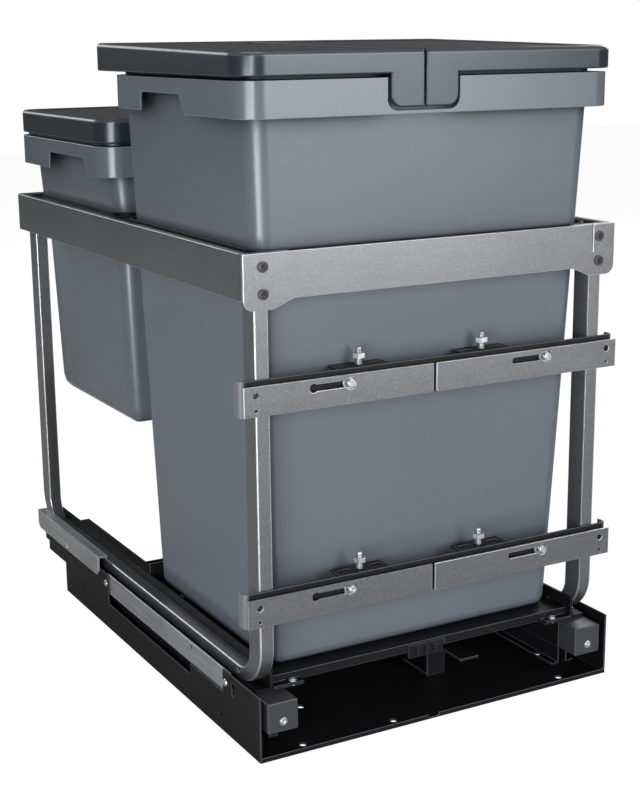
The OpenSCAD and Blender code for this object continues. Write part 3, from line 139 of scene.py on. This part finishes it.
class BinFrameColours(PropertyGroup):
    """Colours of the finishes."""

    frame_coat: FloatVectorProperty(
        name="Frame coat", description="Satin grey coat of rails, hoops and brackets", subtype="COLOR",
        default=(0.19, 0.198, 0.208))
    black_coat: FloatVectorProperty(
        name="Black coat", description="Black coat of the pan and the bed", subtype="COLOR",
        default=(0.0035, 0.0035, 0.0044))
    rail_steel: FloatVectorProperty(
        name="Rail steel", description="Grey steel of the runner's rails and guides", subtype="COLOR",
        default=(0.36, 0.365, 0.38))
    zinc: FloatVectorProperty(
        name="Zinc", description="Bright zinc of bolts, nuts and screws", subtype="COLOR",
        default=(0.56, 0.58, 0.6))
    dark_screw: FloatVectorProperty(
        name="Dark screws", description="Black screws in rails and hoops", subtype="COLOR",
        default=(0.011, 0.011, 0.013))
    bin_plastic: FloatVectorProperty(
        name="Bin plastic", description="Slate grey plastic of the bins", subtype="COLOR",
        default=(0.098, 0.118, 0.14))
    lid_plastic: FloatVectorProperty(
        name="Lid plastic", description="Darker plastic of the lids", subtype="COLOR",
        default=(0.016, 0.0205, 0.026))
    moulding: FloatVectorProperty(
        name="Mouldings", description="Dark plastic of the end caps and the catch", subtype="COLOR",
        default=(0.03, 0.034, 0.039))


class BinFrameStudio(PropertyGroup):
    """Camera and light."""

    azimuth: FloatProperty(
        name="Azimuth", description="Camera's turn round the frame", default=math.radians(-29.02),
        subtype="ANGLE")
    elevation: FloatProperty(
        name="Elevation", description="Camera's height above the horizon", default=math.radians(13.54),
        subtype="ANGLE")
    roll: FloatProperty(
        name="Roll", description="Camera's roll", default=math.radians(-0.58), subtype="ANGLE")
    distance: FloatProperty(
        name="Distance", description="Camera's distance from its target", default=1.3303, unit="LENGTH")
    target: FloatVectorProperty(
        name="Target", description="Point that the camera looks at", default=(-0.0136, 0.17, 0.23565),
        subtype="TRANSLATION", unit="LENGTH")
    lens: FloatProperty(
        name="Lens", description="Focal length in millimetres on a sensor of 36 mm", default=68.73)
    key_power: FloatProperty(
        name="Key", description="Power of the soft light from the front right", default=40.0, unit="POWER")
    strip_power: FloatProperty(
        name="Strip", description="Power of the narrow upright light beside the camera", default=25.0,
        unit="POWER")
    side_power: FloatProperty(
        name="Side", description="Power of the soft light from the left", default=11.5, unit="POWER")
    top_power: FloatProperty(
        name="Top", description="Power of the weak soft light from above", default=14.0, unit="POWER")
    back_power: FloatProperty(
        name="Back", description="Power of the soft light from the back right", default=30.0, unit="POWER")
    rear_power: FloatProperty(
        name="Rear", description="Power of the soft light from the back left", default=15.0, unit="POWER")
    fill: FloatProperty(
        name="Fill", description="Strength of the room's even light", default=0.12, min=0.0)


# Shader nodes

class Value:
    """An output socket of a shader's nodes; arithmetic on it adds Math nodes."""

    def __init__(self, shader_nodes, socket):
        self.shader_nodes = shader_nodes
        self.socket = socket

    def _math(self, operation, first, second):
        return self.shader_nodes.node("ShaderNodeMath", {"operation": operation}, {0: first, 1: second})

    def __add__(self, other):
        return self._math("ADD", self, other)

    def __radd__(self, other):
        return self._math("ADD", other, self)

    def __sub__(self, other):
        return self._math("SUBTRACT", self, other)

    def __rsub__(self, other):
        return self._math("SUBTRACT", other, self)

    def __mul__(self, other):
        return self._math("MULTIPLY", self, other)

    def __rmul__(self, other):
        return self._math("MULTIPLY", other, self)


class ShaderNodes:
    """A node tree that is written as expressions."""

    def __init__(self, tree):
        self.tree = tree

    def node(self, kind, settings=None, inputs=None, out=0):
        """Adds a node: its settings first, then the values or links of its sockets."""
        node = self.tree.nodes.new(kind)
        for key, value in (settings or {}).items():
            setattr(node, key, value)
        for key, value in (inputs or {}).items():
            self.feed(node.inputs[key], value)
        return Value(self, node.outputs[out])

    def feed(self, socket, value):
        """Links a value to a socket, or sets it there if it is a plain number or colour."""
        if isinstance(value, Value):
            self.tree.links.new(value.socket, socket)
        else:
            socket.default_value = value


class Finish(ShaderNodes):
    """A material of the bin frame."""

    # Colour sockets of a Mix node, whose names its other sockets share
    mix_first, mix_second, mix_result = 6, 7, 2

    def __init__(self, name):
        self.material = bpy.data.materials.new(name)
        self.material.use_nodes = True
        super().__init__(self.material.node_tree)
        self.shader = self.tree.nodes["Principled BSDF"]

    def places(self, stretch=(1.0, 1.0, 1.0)):
        """Object coordinates, stretched for a drawn or brushed pattern."""
        coords = self.node("ShaderNodeTexCoord", out="Object")
        if stretch == (1.0, 1.0, 1.0):
            return coords
        return self.node("ShaderNodeMapping", None, {"Vector": coords, "Scale": stretch})

    def noise(self, scale, detail=2.0, rough=0.5, stretch=(1.0, 1.0, 1.0)):
        """Soft noise with this many features to a metre."""
        return self.node("ShaderNodeTexNoise", None, {
            "Vector": self.places(stretch), "Scale": scale, "Detail": detail, "Roughness": rough})

    def flecks(self, scale):
        """A random value for each small cell."""
        cells = self.node(
            "ShaderNodeTexVoronoi", None, {"Vector": self.places(), "Scale": scale}, out="Color")
        return self.node("ShaderNodeSeparateColor", None, {"Color": cells}, out="Red")

    def ramp(self, value, low, high):
        """Zero below low, one above high."""
        return self.node("ShaderNodeMapRange", {"clamp": True}, {
            "Value": value, "From Min": low, "From Max": high})

    def edges(self):
        """One on the rounded edges of a softened piece, where the finishes paint a highlight, zero elsewhere.
        """
        return self.node("ShaderNodeAttribute", {"attribute_name": "edge"}, out="Fac")

    def hollow_shade(self, reach):
        """One on open faces, less in the piece's own hollows within reach, where shade is painted."""
        return self.node(
            "ShaderNodeAmbientOcclusion", {"samples": 8, "only_local": True}, {"Distance": reach}, out="AO")

    def mix(self, factor, first, second):
        """Colour between first and second."""
        return self.node("ShaderNodeMix", {"data_type": "RGBA"}, {
            "Factor": factor, self.mix_first: first, self.mix_second: second}, out=self.mix_result)

    def bump(self, height, strength, distance):
        """Normal from a height."""
        return self.node("ShaderNodeBump", None, {
            "Height": height, "Strength": strength, "Distance": distance}, out="Normal")

    def set(self, **sockets):
        """Links or sets the shader's own sockets."""
        for key, value in sockets.items():
            label = key.replace("_", " ").title().replace("Ior", "IOR")
            self.feed(self.shader.inputs[label], value)
        return self.material


# Finishes

def shade(colour, factor):
    """The same colour, lighter or darker, with alpha."""
    return (*(min(1.0, c * factor) for c in colour), 1.0)


def frame_coat_finish(colour):
    """Satin grey metallic coat: fine bright grain, faint drawing marks, and a painted highlight along the
    edges.
    """
    finish = Finish("frame_coat")
    grain = finish.noise(1500.0, detail=2.0, rough=0.7)
    flecks = finish.ramp(finish.flecks(1900.0), 0.72, 1.0)
    drawn = finish.noise(160.0, detail=3.0, rough=0.6, stretch=(0.15, 1.0, 2.6))
    cloud = finish.noise(9.0, detail=2.0, rough=0.5)
    level = finish.ramp(grain * 0.62 + drawn * 0.2 + cloud * 0.18, 0.32, 0.68)
    body = finish.mix(level, shade(colour, 0.72), shade(colour, 1.22))
    body = finish.mix(flecks * 0.45, body, shade(colour, 2.1))
    # Painted highlight: the rounded edges turn much paler
    body = finish.mix(finish.edges() * 0.8, body, shade(colour, 3.4))
    return finish.set(
        base_color=body, metallic=0.85, roughness=0.25 + grain * 0.14,
        normal=finish.bump(grain + flecks * 0.5, strength=0.22, distance=0.0004))


def bracket_coat_finish(ends, shaded, reach):
    """Bracket bars: painted shade, dull black out to reach under the plates, then the grey coat, and a
    painted highlight on the edges.
    """
    finish = Finish("bracket_coat")
    grain = finish.noise(1500.0, detail=2.0, rough=0.7)
    across = finish.node("ShaderNodeSeparateXYZ", None, {"Vector": finish.places()}, out="X")
    sideways = finish.node("ShaderNodeMath", {"operation": "ABSOLUTE"}, {0: across})
    fade = 0.004
    outside = finish.ramp(sideways, reach - fade, reach)
    # Painted shade: dull black where the plates shade the bars, with a painted highlight on its edges
    dull = finish.mix(grain, shade(shaded, 0.8), shade(shaded, 1.4))
    dull = finish.mix(finish.edges() * 0.6, dull, shade(ends, 0.8))
    grey = finish.mix(grain, shade(ends, 0.7), shade(ends, 1.2))
    return finish.set(
        base_color=finish.mix(outside, dull, grey), metallic=0.4, roughness=0.5 + grain * 0.14,
        normal=finish.bump(grain, strength=0.16, distance=0.0004))


def black_coat_finish(colour):
    """Black powder coat: a fine orange-peel surface, a little dust and a painted grey highlight along the
    edges.
    """
    finish = Finish("black_coat")
    peel = finish.noise(900.0, detail=2.0, rough=0.55)
    dust = finish.ramp(finish.noise(38.0, detail=4.0, rough=0.7), 0.52, 0.8)
    body = finish.mix(dust * 0.35, shade(colour, 1.0), shade(colour, 2.2))
    # Painted highlight: the rounded edges turn grey
    body = finish.mix(finish.edges() * 0.7, body, shade(colour, 30.0))
    return finish.set(
        base_color=body, roughness=0.46 + peel * 0.14 + dust * 0.08,
        specular_ior_level=0.22, normal=finish.bump(peel, strength=0.16, distance=0.0004))


def rail_steel_finish(colour):
    """Rolled runner steel: long drawing marks along the rails and a painted highlight on the edges."""
    finish = Finish("rail_steel")
    drawn = finish.noise(420.0, detail=3.0, rough=0.6, stretch=(1.0, 0.03, 1.0))
    stain = finish.noise(22.0, detail=3.0, rough=0.6)
    level = finish.ramp(drawn * 0.7 + stain * 0.3, 0.3, 0.7)
    body = finish.mix(level, shade(colour, 0.7), shade(colour, 1.3))
    # Painted highlight: the rounded edges turn paler
    body = finish.mix(finish.edges() * 0.7, body, shade(colour, 2.4))
    return finish.set(
        base_color=body, metallic=0.7, roughness=0.34 + drawn * 0.18,
        normal=finish.bump(drawn, strength=0.12, distance=0.0003))


def zinc_finish(colour):
    """Bright zinc plating with a slight spangle."""
    finish = Finish("bright_zinc")
    spangle = finish.flecks(700.0)
    wear = finish.noise(240.0, detail=3.0, rough=0.6)
    body = finish.mix(spangle * 0.6 + wear * 0.3, shade(colour, 0.8), shade(colour, 1.12))
    return finish.set(base_color=body, metallic=1.0, roughness=0.34 + wear * 0.16)


def dark_screw_finish(colour):
    """Blackened screw with a painted highlight on its edges."""
    finish = Finish("black_screw")
    wear = finish.noise(500.0, detail=3.0, rough=0.6)
    body = finish.mix(wear * 0.5, shade(colour, 0.7), shade(colour, 1.6))
    # Painted highlight: the rounded edges turn grey
    body = finish.mix(finish.edges() * 0.6, body, shade(colour, 18.0))
    return finish.set(base_color=body, metallic=0.4, roughness=0.32 + wear * 0.2)


def plastic_finish(name, colour, rough, edge_highlight, edge_highlight_gain=1.9, gloss=0.5, tint=WHITE):
    """Moulded plastic: a fine spark-eroded grain, faint flow clouds, a painted highlight on the edges and
    painted shade, dull and dark, in its own hollows.
    """
    finish = Finish(name)
    grain = finish.noise(1300.0, detail=2.0, rough=0.6)
    cloud = finish.noise(5.5, detail=3.0, rough=0.5)
    scuff = finish.ramp(finish.noise(60.0, detail=5.0, rough=0.7, stretch=(1.0, 1.0, 0.35)), 0.62, 0.85)
    body = finish.mix(finish.ramp(cloud, 0.3, 0.7), shade(colour, 0.94), shade(colour, 1.05))
    body = finish.mix(grain * 0.3, body, shade(colour, 1.12))
    # Painted highlight: the rounded edges turn paler
    body = finish.mix(finish.edges() * edge_highlight, body, shade(colour, edge_highlight_gain))
    # Painted shade: the piece's own hollows go dark and dull
    unshaded = finish.ramp(finish.hollow_shade(reach=0.05), 0.42, 0.97)
    body = finish.mix(unshaded, shade(colour, 0.12), body)
    return finish.set(
        base_color=body, roughness=rough + grain * 0.08 + scuff * 0.03 + (1.0 - unshaded) * 0.3,
        specular_ior_level=gloss, specular_tint=tint,
        normal=finish.bump(grain, strength=0.1, distance=0.0003))


# Shapes

def keep_sharp(bm, limit):
    """Smooth faces, with hard edges where two of them meet more steeply than limit."""
    for face in bm.faces:
        face.smooth = True
    for edge in bm.edges:
        edge.smooth = len(edge.link_faces) == 2 and edge.calc_face_angle(0.0) < limit


def corner_edges(bm):
    """Edges where two faces meet at a corner."""
    return [e for e in bm.edges if len(e.link_faces) == 2 and e.calc_face_angle(0.0) > CORNER_ANGLE]


def below(height):
    """A test for edges that lie wholly below this height."""
    return lambda edge: all(v.co.z < height for v in edge.verts)


class LidEdges:
    """Tells the edges of one lid apart; side is its entry in SEAMS, or None for a lid in one piece."""

    # How far a corner may lie below the top's plane and still belong to the top
    top_play = 0.0015
    # Depth of the lid's brow: the skirt reaches further down, and the seam is rounded this far back
    brow_depth = 0.008
    # Distance from the seam's plane that still counts as in it
    seam_play = 1e-5
    # A face is upright if its normal rises less than the first, and level if it rises more than the second
    upright_below, level_above = 0.3, 0.9
    # A face is turned up or forward if its normal leans that way by more than this
    lean = 0.2

    def __init__(self, node, side):
        self.low, self.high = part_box(node)
        self.middle = (self.low + self.high) / 2
        self.seam_x = None if side is None else (self.low, self.high)[side].x
        top = max(frame["nodes"][node].data.polygons, key=lambda p: p.area * p.normal.z)
        self.top_point, self.top_normal = top.center.copy(), top.normal.copy()

    def depth(self, vert):
        """How far a corner lies below the lid's sloping top."""
        return (self.top_point - vert.co).dot(self.top_normal)

    def in_seam(self, vert):
        """True on the plane where the lid meets the other half."""
        return self.seam_x is not None and abs(vert.co.x - self.seam_x) < self.seam_play

    def is_skirt(self, face):
        """True on the lid's tall outer faces, apart from the seam's."""
        depths = [self.depth(v) for v in face.verts]
        tall = min(depths) < self.top_play and max(depths) > self.brow_depth
        away = face.calc_center_median() - self.middle
        outward = away.x * face.normal.x + away.y * face.normal.y > 0.0
        upright = abs(face.normal.z) < self.upright_below
        return tall and outward and upright and not all(map(self.in_seam, face.verts))

    def at_hem(self, edge):
        """True along the skirt's lower outline and round the grip tab."""
        other = [f for f in edge.link_faces if not self.is_skirt(f)]
        lower = len(other) == 1 and other[0].normal.z < self.lean
        return lower and not all(map(self.in_seam, edge.verts))

    def at_top(self, edge):
        """True where a skirt meets the lid's top."""
        top = max(f.normal.z for f in edge.link_faces)
        near = all(self.depth(v) < self.top_play for v in edge.verts)
        return near and top > self.level_above and any(map(self.is_skirt, edge.link_faces))

    def at_seam(self, edge):
        """True on the seam's front edge and over the lid's brow."""
        ahead = max(v.co.y for v in edge.verts) < self.low.y + self.brow_depth
        outer = any(f.normal.y < -self.lean or f.normal.z > self.lean for f in edge.link_faces)
        return ahead and outer and all(map(self.in_seam, edge.verts))


def joined_edges(edges):
    """Groups of edges that share corners, so that a small hole doesn't limit the rounding of a long edge."""
    groups = {}
    for edge in edges:
        ends = {id(groups[v]): groups[v] for v in edge.verts if v in groups}
        group = [edge] + [e for other in ends.values() for e in other]
        for e in group:
            for v in e.verts:
                groups[v] = group
    return list({id(g): g for g in groups.values()}.values())


def round_over(bm, edges, rounding, layer):
    """Rounds these edges and marks how strong a painted highlight the new faces get."""
    for group in joined_edges(edges):
        made = bmesh.ops.bevel(
            bm, geom=group, offset=rounding.radius, offset_type="OFFSET", affect="EDGES",
            segments=rounding.segments, profile=0.5, material=-1, clamp_overlap=rounding.clamp,
            loop_slide=True)
        for face in made["faces"]:
            face[layer] = rounding.wear


def mark_cut_edges(bm, layer, thickness):
    """Marks the long narrow faces between two rounded edges: the cut edges of a sheet, which get the full
    painted highlight.
    """
    narrow = []
    for face in bm.faces:
        longest = max(e.calc_length() for e in face.edges)
        beside = [f for e in face.edges if e.calc_length() > longest / 2 for f in e.link_faces if f != face]
        if face.calc_area() < longest * thickness and all(f[layer] > 0.5 for f in beside):
            narrow.append(face)
    for face in narrow:
        face[layer] = 1.0


def welded_copy(node):
    """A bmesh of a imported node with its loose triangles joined."""
    bm = bmesh.new()
    bm.from_mesh(frame["nodes"][node].data)
    bmesh.ops.remove_doubles(bm, verts=bm.verts, dist=WELD)
    return bm


def softened(node, passes, cut_edges=0.0):
    """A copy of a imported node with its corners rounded, pass by pass."""
    bm = welded_copy(node)
    bmesh.ops.dissolve_limit(bm, angle_limit=FLAT_ANGLE, verts=bm.verts, edges=bm.edges)
    layer = bm.faces.layers.float.new("edge")
    for rounding in passes:
        edges = [e for e in corner_edges(bm) if rounding.choose is None or rounding.choose(e)]
        round_over(bm, edges, rounding, layer)
    mark_cut_edges(bm, layer, cut_edges)
    keep_sharp(bm, SHARP_ANGLE)
    return piece_from(bm, node + "_dressed")


def object_from(bm, name):
    """A linked object from a bmesh, which is freed."""
    mesh = bpy.data.meshes.new(name)
    bm.to_mesh(mesh)
    bm.free()
    made = bpy.data.objects.new(name, mesh)
    bpy.context.scene.collection.objects.link(made)
    return made


def piece_from(bm, name):
    """An object from a bmesh, with flat faces kept flat in the shading."""
    piece = object_from(bm, name)
    flat = piece.modifiers.new("Flat faces", "WEIGHTED_NORMAL")
    flat.keep_sharp = True
    return piece


def bolt_columns(node):
    """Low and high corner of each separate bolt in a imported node."""
    bm = welded_copy(node)
    columns = []
    counted = set()
    for start in bm.verts:
        if start in counted:
            continue
        group, queue = {start}, [start]
        while queue:
            for edge in queue.pop().link_edges:
                fresh = set(edge.verts) - group
                group |= fresh
                queue.extend(fresh)
        counted |= group
        cos = [v.co for v in group]
        columns.append((
            Vector(min(c[i] for c in cos) for i in range(3)),
            Vector(max(c[i] for c in cos) for i in range(3))))
    bm.free()
    return columns


def turn_bolt(bm, axis, low, high, pitch):
    """Turns one bolt: a hexagon head with a chamfer, then a ringed shank with a tapered end."""
    head_height, head_radius, chamfer, rim_angle = 0.0035, 0.0057, 0.0003, 1.2
    crest, root = 0.003, 0.00248
    tip = root * 0.85
    crest_start, crest_end = pitch * 0.42, pitch * 0.58
    sunk, tip_height = 0.0002, 0.0005
    head = bmesh.ops.create_cone(
        bm, cap_ends=True, cap_tris=False, segments=6, radius1=head_radius, radius2=head_radius,
        depth=head_height, matrix=Matrix.Translation(axis + Vector((0.0, 0.0, low + head_height / 2))))
    head_edges = {e for v in head["verts"] for e in v.link_edges}
    rims = [e for e in head_edges if e.calc_face_angle(0.0) > rim_angle]
    bmesh.ops.bevel(bm, geom=rims, offset=chamfer, affect="EDGES", segments=1, profile=0.5, material=-1)
    z = low + head_height
    profile = [(0.0, z - sunk), (root, z - sunk)]
    while z + pitch < high - tip_height:
        profile += [(root, z), (crest, z + crest_start), (crest, z + crest_end)]
        z += pitch
    profile += [(root, z), (tip, high), (0.0, high)]
    verts = [bm.verts.new(Vector((radius, 0.0, height)) + axis) for radius, height in profile]
    edges = [bm.edges.new(pair) for pair in zip(verts, verts[1:])]
    bmesh.ops.spin(
        bm, geom=verts + edges, cent=axis, axis=(0.0, 0.0, 1.0), angle=math.tau, steps=24, use_merge=True)


# Pieces

def body_of_node(node):
    """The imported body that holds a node."""
    for body, nodes in frame["record"]["behaviour"]["bodies"].items():
        if node in nodes:
            return body
    raise RuntimeError("no body holds " + node)


def dress(node, piece, material):
    """Puts a piece in a node's place."""
    piece.data.materials.clear()
    piece.data.materials.append(material)
    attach(piece, body_of_node(node))
    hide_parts(node)


def dress_softened(nodes, material, passes, cut_edges=0.0):
    """Puts softened copies in the places of these nodes."""
    for node in nodes:
        dress(node, softened(node, passes, cut_edges), material)


def paint(node, material):
    """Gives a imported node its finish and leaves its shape."""
    data = frame["nodes"][node].data
    data.materials.clear()
    data.materials.append(material)


# Studio

def place_camera(context, studio):
    """Camera on a sphere round its target, with a small roll."""
    target = Vector(studio.target)
    flat = math.cos(studio.elevation)
    back = Vector((
        math.sin(studio.azimuth) * flat, -math.cos(studio.azimuth) * flat, math.sin(studio.elevation)))
    data = bpy.data.cameras.new("camera")
    data.lens = studio.lens
    data.sensor_width = 36.0
    data.clip_start = 0.05
    data.clip_end = 50.0
    camera = bpy.data.objects.new("camera", data)
    context.scene.collection.objects.link(camera)
    turn = back.to_track_quat("Z", "Y").to_matrix() @ Matrix.Rotation(studio.roll, 3, "Z")
    camera.matrix_world = Matrix.Translation(target + back * studio.distance) @ turn.to_4x4()
    context.scene.camera = camera


def area_light(context, name, power, size, place, aim):
    """A soft rectangular light aimed at a point."""
    data = bpy.data.lights.new(name, "AREA")
    data.shape = "RECTANGLE"
    data.size, data.size_y = size
    data.energy = power
    light = bpy.data.objects.new(name, data)
    light.visible_camera = False
    context.scene.collection.objects.link(light)
    place, aim = Vector(place), Vector(aim)
    turn = (place - aim).to_track_quat("Z", "Y").to_matrix()
    light.matrix_world = Matrix.Translation(place) @ turn.to_4x4()


def light_room(context, studio):
    """Soft lights round the frame and a room of weak even light that is white to the camera."""
    middle = (0.0, 0.2, 0.28)
    lights = (
        ("front_softbox", studio.key_power, (1.15, 1.6), (0.95, -2.1, 0.95), (0.0, 0.0, 0.45)),
        ("corner_strip", studio.strip_power, (0.18, 1.3), (-1.5, -2.0, 0.7), middle),
        ("left_softbox", studio.side_power, (0.5, 0.6), (-1.05, -0.7, 0.2), (-0.12, 0.05, 0.22)),
        ("top_softbox", studio.top_power, (1.6, 1.2), (-0.1, 0.1, 2.3), middle),
        ("back_softbox", studio.back_power, (1.4, 1.2), (2.4, 1.6, 1.3), middle),
        ("rear_softbox", studio.rear_power, (1.4, 1.0), (-1.1, 2.6, 1.3), middle),
    )
    for name, power, size, place, aim in lights:
        area_light(context, name, power, size, place, aim)
    world = bpy.data.worlds.new("studio")
    context.scene.world = world
    world.use_nodes = True
    room = ShaderNodes(world.node_tree)
    seen = room.node("ShaderNodeLightPath", out="Is Camera Ray")
    background = room.tree.nodes["Background"]
    room.feed(background.inputs["Color"], WHITE)
    room.feed(background.inputs["Strength"], studio.fill + seen * (1.0 - studio.fill))


def pale_floor():
    """A large white floor that keeps a faint shadow."""
    reach, gap = 6.0, 0.0005
    glow_strength, glow_share = 1.19, 0.8
    dull, pale = (0.5, 0.5, 0.5, 1.0), (0.54, 0.54, 0.54, 1.0)
    bm = bmesh.new()
    bmesh.ops.create_grid(bm, x_segments=1, y_segments=1, size=reach)
    bmesh.ops.translate(bm, verts=bm.verts, vec=(0.0, 0.0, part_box("base_pan")[0].z - gap))
    floor = object_from(bm, "floor")
    finish = Finish("pale_floor")
    seen = finish.node("ShaderNodeLightPath", out="Is Camera Ray")
    paper = finish.noise(40.0, detail=2.0, rough=0.5)
    finish.set(base_color=finish.mix(paper, dull, pale), roughness=0.9, specular_ior_level=0.0)
    glow = finish.node("ShaderNodeEmission", None, {"Color": WHITE, "Strength": glow_strength})
    blend = finish.node("ShaderNodeMixShader", None, {
        0: seen * glow_share, 1: Value(finish, finish.shader.outputs[0]), 2: glow})
    finish.feed(finish.tree.nodes["Material Output"].inputs["Surface"], blend)
    floor.data.materials.append(finish.material)


# Operators

def colours(context):
    """The finishes' colours that the user has set."""
    return context.scene.bin_frame_colours


def sizes(context):
    """The dressing's sizes that the user has set."""
    return context.scene.bin_frame_sizes


class BINFRAME_OT_frame_metal(Operator):
    """Rails, hoops and front-panel plates in satin grey, bracket bars in grey with painted shade in black
    under the plates
    """

    bl_idname = "bin_frame.frame_metal"
    bl_label = "Frame metal"

    def execute(self, context):
        size, colour = sizes(context), colours(context)
        coat = frame_coat_finish(colour.frame_coat)
        dress_softened(SIDE_RAILS + PLATES, coat, [Rounding(size.sheet_edge, segments=2)], size.cut_edge)
        dress_softened(HOOPS, coat, [Rounding(size.bar_edge, segments=3)])
        plate_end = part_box(PLATES[1])[1].x
        # The bars get painted shade in the black coat's colour out to the plates' end
        bars = bracket_coat_finish(colour.frame_coat, colour.black_coat, plate_end)
        dress_softened(BRACKETS, bars, [Rounding(size.sheet_edge, segments=2)])
        return {"FINISHED"}


class BINFRAME_OT_black_parts(Operator):
    """Base pan, fixed and moving rails, bed, crossbars and bin seat in black"""

    bl_idname = "bin_frame.black_parts"
    bl_label = "Black parts"

    def execute(self, context):
        coat = black_coat_finish(colours(context).black_coat)
        dress_softened(BLACK_PARTS, coat, [Rounding(sizes(context).sheet_edge * COATED_SHARE, segments=2)])
        return {"FINISHED"}


class BINFRAME_OT_runners(Operator):
    """Middle rails, rail plates, guides and ball cages in grey steel"""

    bl_idname = "bin_frame.runners"
    bl_label = "Runners"

    def execute(self, context):
        steel = rail_steel_finish(colours(context).rail_steel)
        dress_softened(RUNNER_PARTS, steel, [Rounding(sizes(context).sheet_edge * THIN_SHARE, segments=2)])
        for node in CAGES:
            paint(node, steel)
        return {"FINISHED"}


class BINFRAME_OT_bins(Operator):
    """Both bins in slate grey plastic"""

    bl_idname = "bin_frame.bins"
    bl_label = "Bins"

    def execute(self, context):
        plastic = plastic_finish("bin_plastic", colours(context).bin_plastic, rough=0.22, edge_highlight=0.45)
        size = sizes(context)
        for node in BINS:
            below_rim = below(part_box(node)[1].z - size.rim_zone)
            dress(node, softened(node, [
                Rounding(size.bin_edge, segments=3, choose=below_rim, clamp=False),
                Rounding(size.bin_edge, segments=3)]), plastic)
        return {"FINISHED"}


class BINFRAME_OT_lids(Operator):
    """Split front lid and loose rear lid"""

    bl_idname = "bin_frame.lids"
    bl_label = "Lids"

    def execute(self, context):
        plastic = plastic_finish(
            "lid_plastic", colours(context).lid_plastic, rough=0.24, edge_highlight=0.6, edge_highlight_gain=4.0, gloss=0.6,
            tint=(0.8, 0.92, 1.0, 1.0))
        size = sizes(context)
        for node in LIDS:
            edges = LidEdges(node, SEAMS.get(node))
            dress(node, softened(node, [
                Rounding(size.hem_edge, segments=3, choose=edges.at_hem, wear=0.0, clamp=False),
                Rounding(size.lid_edge, segments=4, choose=edges.at_top, clamp=False),
                Rounding(size.seam_edge, segments=3, choose=edges.at_seam, wear=0.0, clamp=False),
                Rounding(size.sheet_edge * THIN_SHARE, segments=2, wear=0.0)]), plastic)
        return {"FINISHED"}


class BINFRAME_OT_mouldings(Operator):
    """Runner end caps and the catch"""

    bl_idname = "bin_frame.mouldings"
    bl_label = "Mouldings"

    def execute(self, context):
        radius = sizes(context).moulding_edge
        plastic = plastic_finish("moulding", colours(context).moulding, rough=0.34, edge_highlight=0.4)
        dress_softened(END_CAPS, plastic, [Rounding(radius, segments=3)])
        catch = plastic_finish(
            "catch_plastic", colours(context).black_coat, rough=0.4, edge_highlight=0.5, edge_highlight_gain=12.0, gloss=0.3)
        dress_softened(["catch_unit"], catch, [Rounding(radius * RIB_SHARE, segments=2)])
        return {"FINISHED"}


class BINFRAME_OT_fasteners(Operator):
    """Screws, rivets, nuts and pins"""

    bl_idname = "bin_frame.fasteners"
    bl_label = "Fasteners"

    def execute(self, context):
        zinc = zinc_finish(colours(context).zinc)
        dark = dark_screw_finish(colours(context).dark_screw)
        rounding = Rounding(sizes(context).screw_edge, segments=2)
        dress_softened(ZINC_PARTS, zinc, [rounding])
        dress_softened(DARK_SCREWS, dark, [rounding])
        self.threaded_bolts(context, zinc)
        return {"FINISHED"}

    def threaded_bolts(self, context, zinc):
        """The bracket's upright bolts with a thread of turned rings, in place of their plain shanks"""
        bm = bmesh.new()
        for low, high in bolt_columns("bracket_bolts"):
            axis = Vector(((low.x + high.x) / 2, (low.y + high.y) / 2, 0.0))
            turn_bolt(bm, axis, low.z, high.z, sizes(context).thread_pitch)
        bmesh.ops.remove_doubles(bm, verts=bm.verts, dist=WELD)
        bmesh.ops.recalc_face_normals(bm, faces=bm.faces)
        bm.faces.layers.float.new("edge")
        keep_sharp(bm, THREAD_SHARP_ANGLE)
        dress("bracket_bolts", piece_from(bm, "bracket_bolts_dressed"), zinc)


class BINFRAME_OT_stage(Operator):
    """Camera at the photographed angle, soft light and a pale floor"""

    bl_idname = "bin_frame.stage"
    bl_label = "Studio"

    def execute(self, context):
        studio = context.scene.bin_frame_studio
        place_camera(context, studio)
        light_room(context, studio)
        pale_floor()
        context.scene.view_settings.view_transform = "Standard"
        return {"FINISHED"}


# Add-on

class BINFRAME_PT_sidebar(Panel):
    """Lists the steps that dress the bin frame"""

    bl_idname = "BINFRAME_PT_sidebar"
    bl_label = "Bin Frame"
    bl_space_type = "VIEW_3D"
    bl_region_type = "UI"
    bl_category = "Bin Frame"

    def draw(self, context):
        for step in STEPS:
            self.layout.operator(step.bl_idname)
        for group in (sizes(context), colours(context), context.scene.bin_frame_studio):
            box = self.layout.box()
            for key in group.__annotations__:
                box.prop(group, key)


STEPS = (
    BINFRAME_OT_frame_metal, BINFRAME_OT_black_parts, BINFRAME_OT_runners, BINFRAME_OT_bins, BINFRAME_OT_lids,
    BINFRAME_OT_mouldings, BINFRAME_OT_fasteners, BINFRAME_OT_stage,
)
CLASSES = (BinFrameSizes, BinFrameColours, BinFrameStudio) + STEPS + (BINFRAME_PT_sidebar,)


def register():
    """Adds the classes and their settings to Blender."""
    for cls in CLASSES:
        bpy.utils.register_class(cls)
    bpy.types.Scene.bin_frame_sizes = PointerProperty(type=BinFrameSizes)
    bpy.types.Scene.bin_frame_colours = PointerProperty(type=BinFrameColours)
    bpy.types.Scene.bin_frame_studio = PointerProperty(type=BinFrameStudio)


def unregister():
    """Takes the settings and the classes out again."""
    del bpy.types.Scene.bin_frame_studio
    del bpy.types.Scene.bin_frame_colours
    del bpy.types.Scene.bin_frame_sizes
    for cls in reversed(CLASSES):
        bpy.utils.unregister_class(cls)


def main():
    """Dresses the frame step by step."""
    register()
    bpy.ops.bin_frame.frame_metal()
    bpy.ops.bin_frame.black_parts()
    bpy.ops.bin_frame.runners()
    bpy.ops.bin_frame.bins()
    bpy.ops.bin_frame.lids()
    bpy.ops.bin_frame.mouldings()
    bpy.ops.bin_frame.fasteners()
    bpy.ops.bin_frame.stage()


if __name__ == "__main__":
    main()
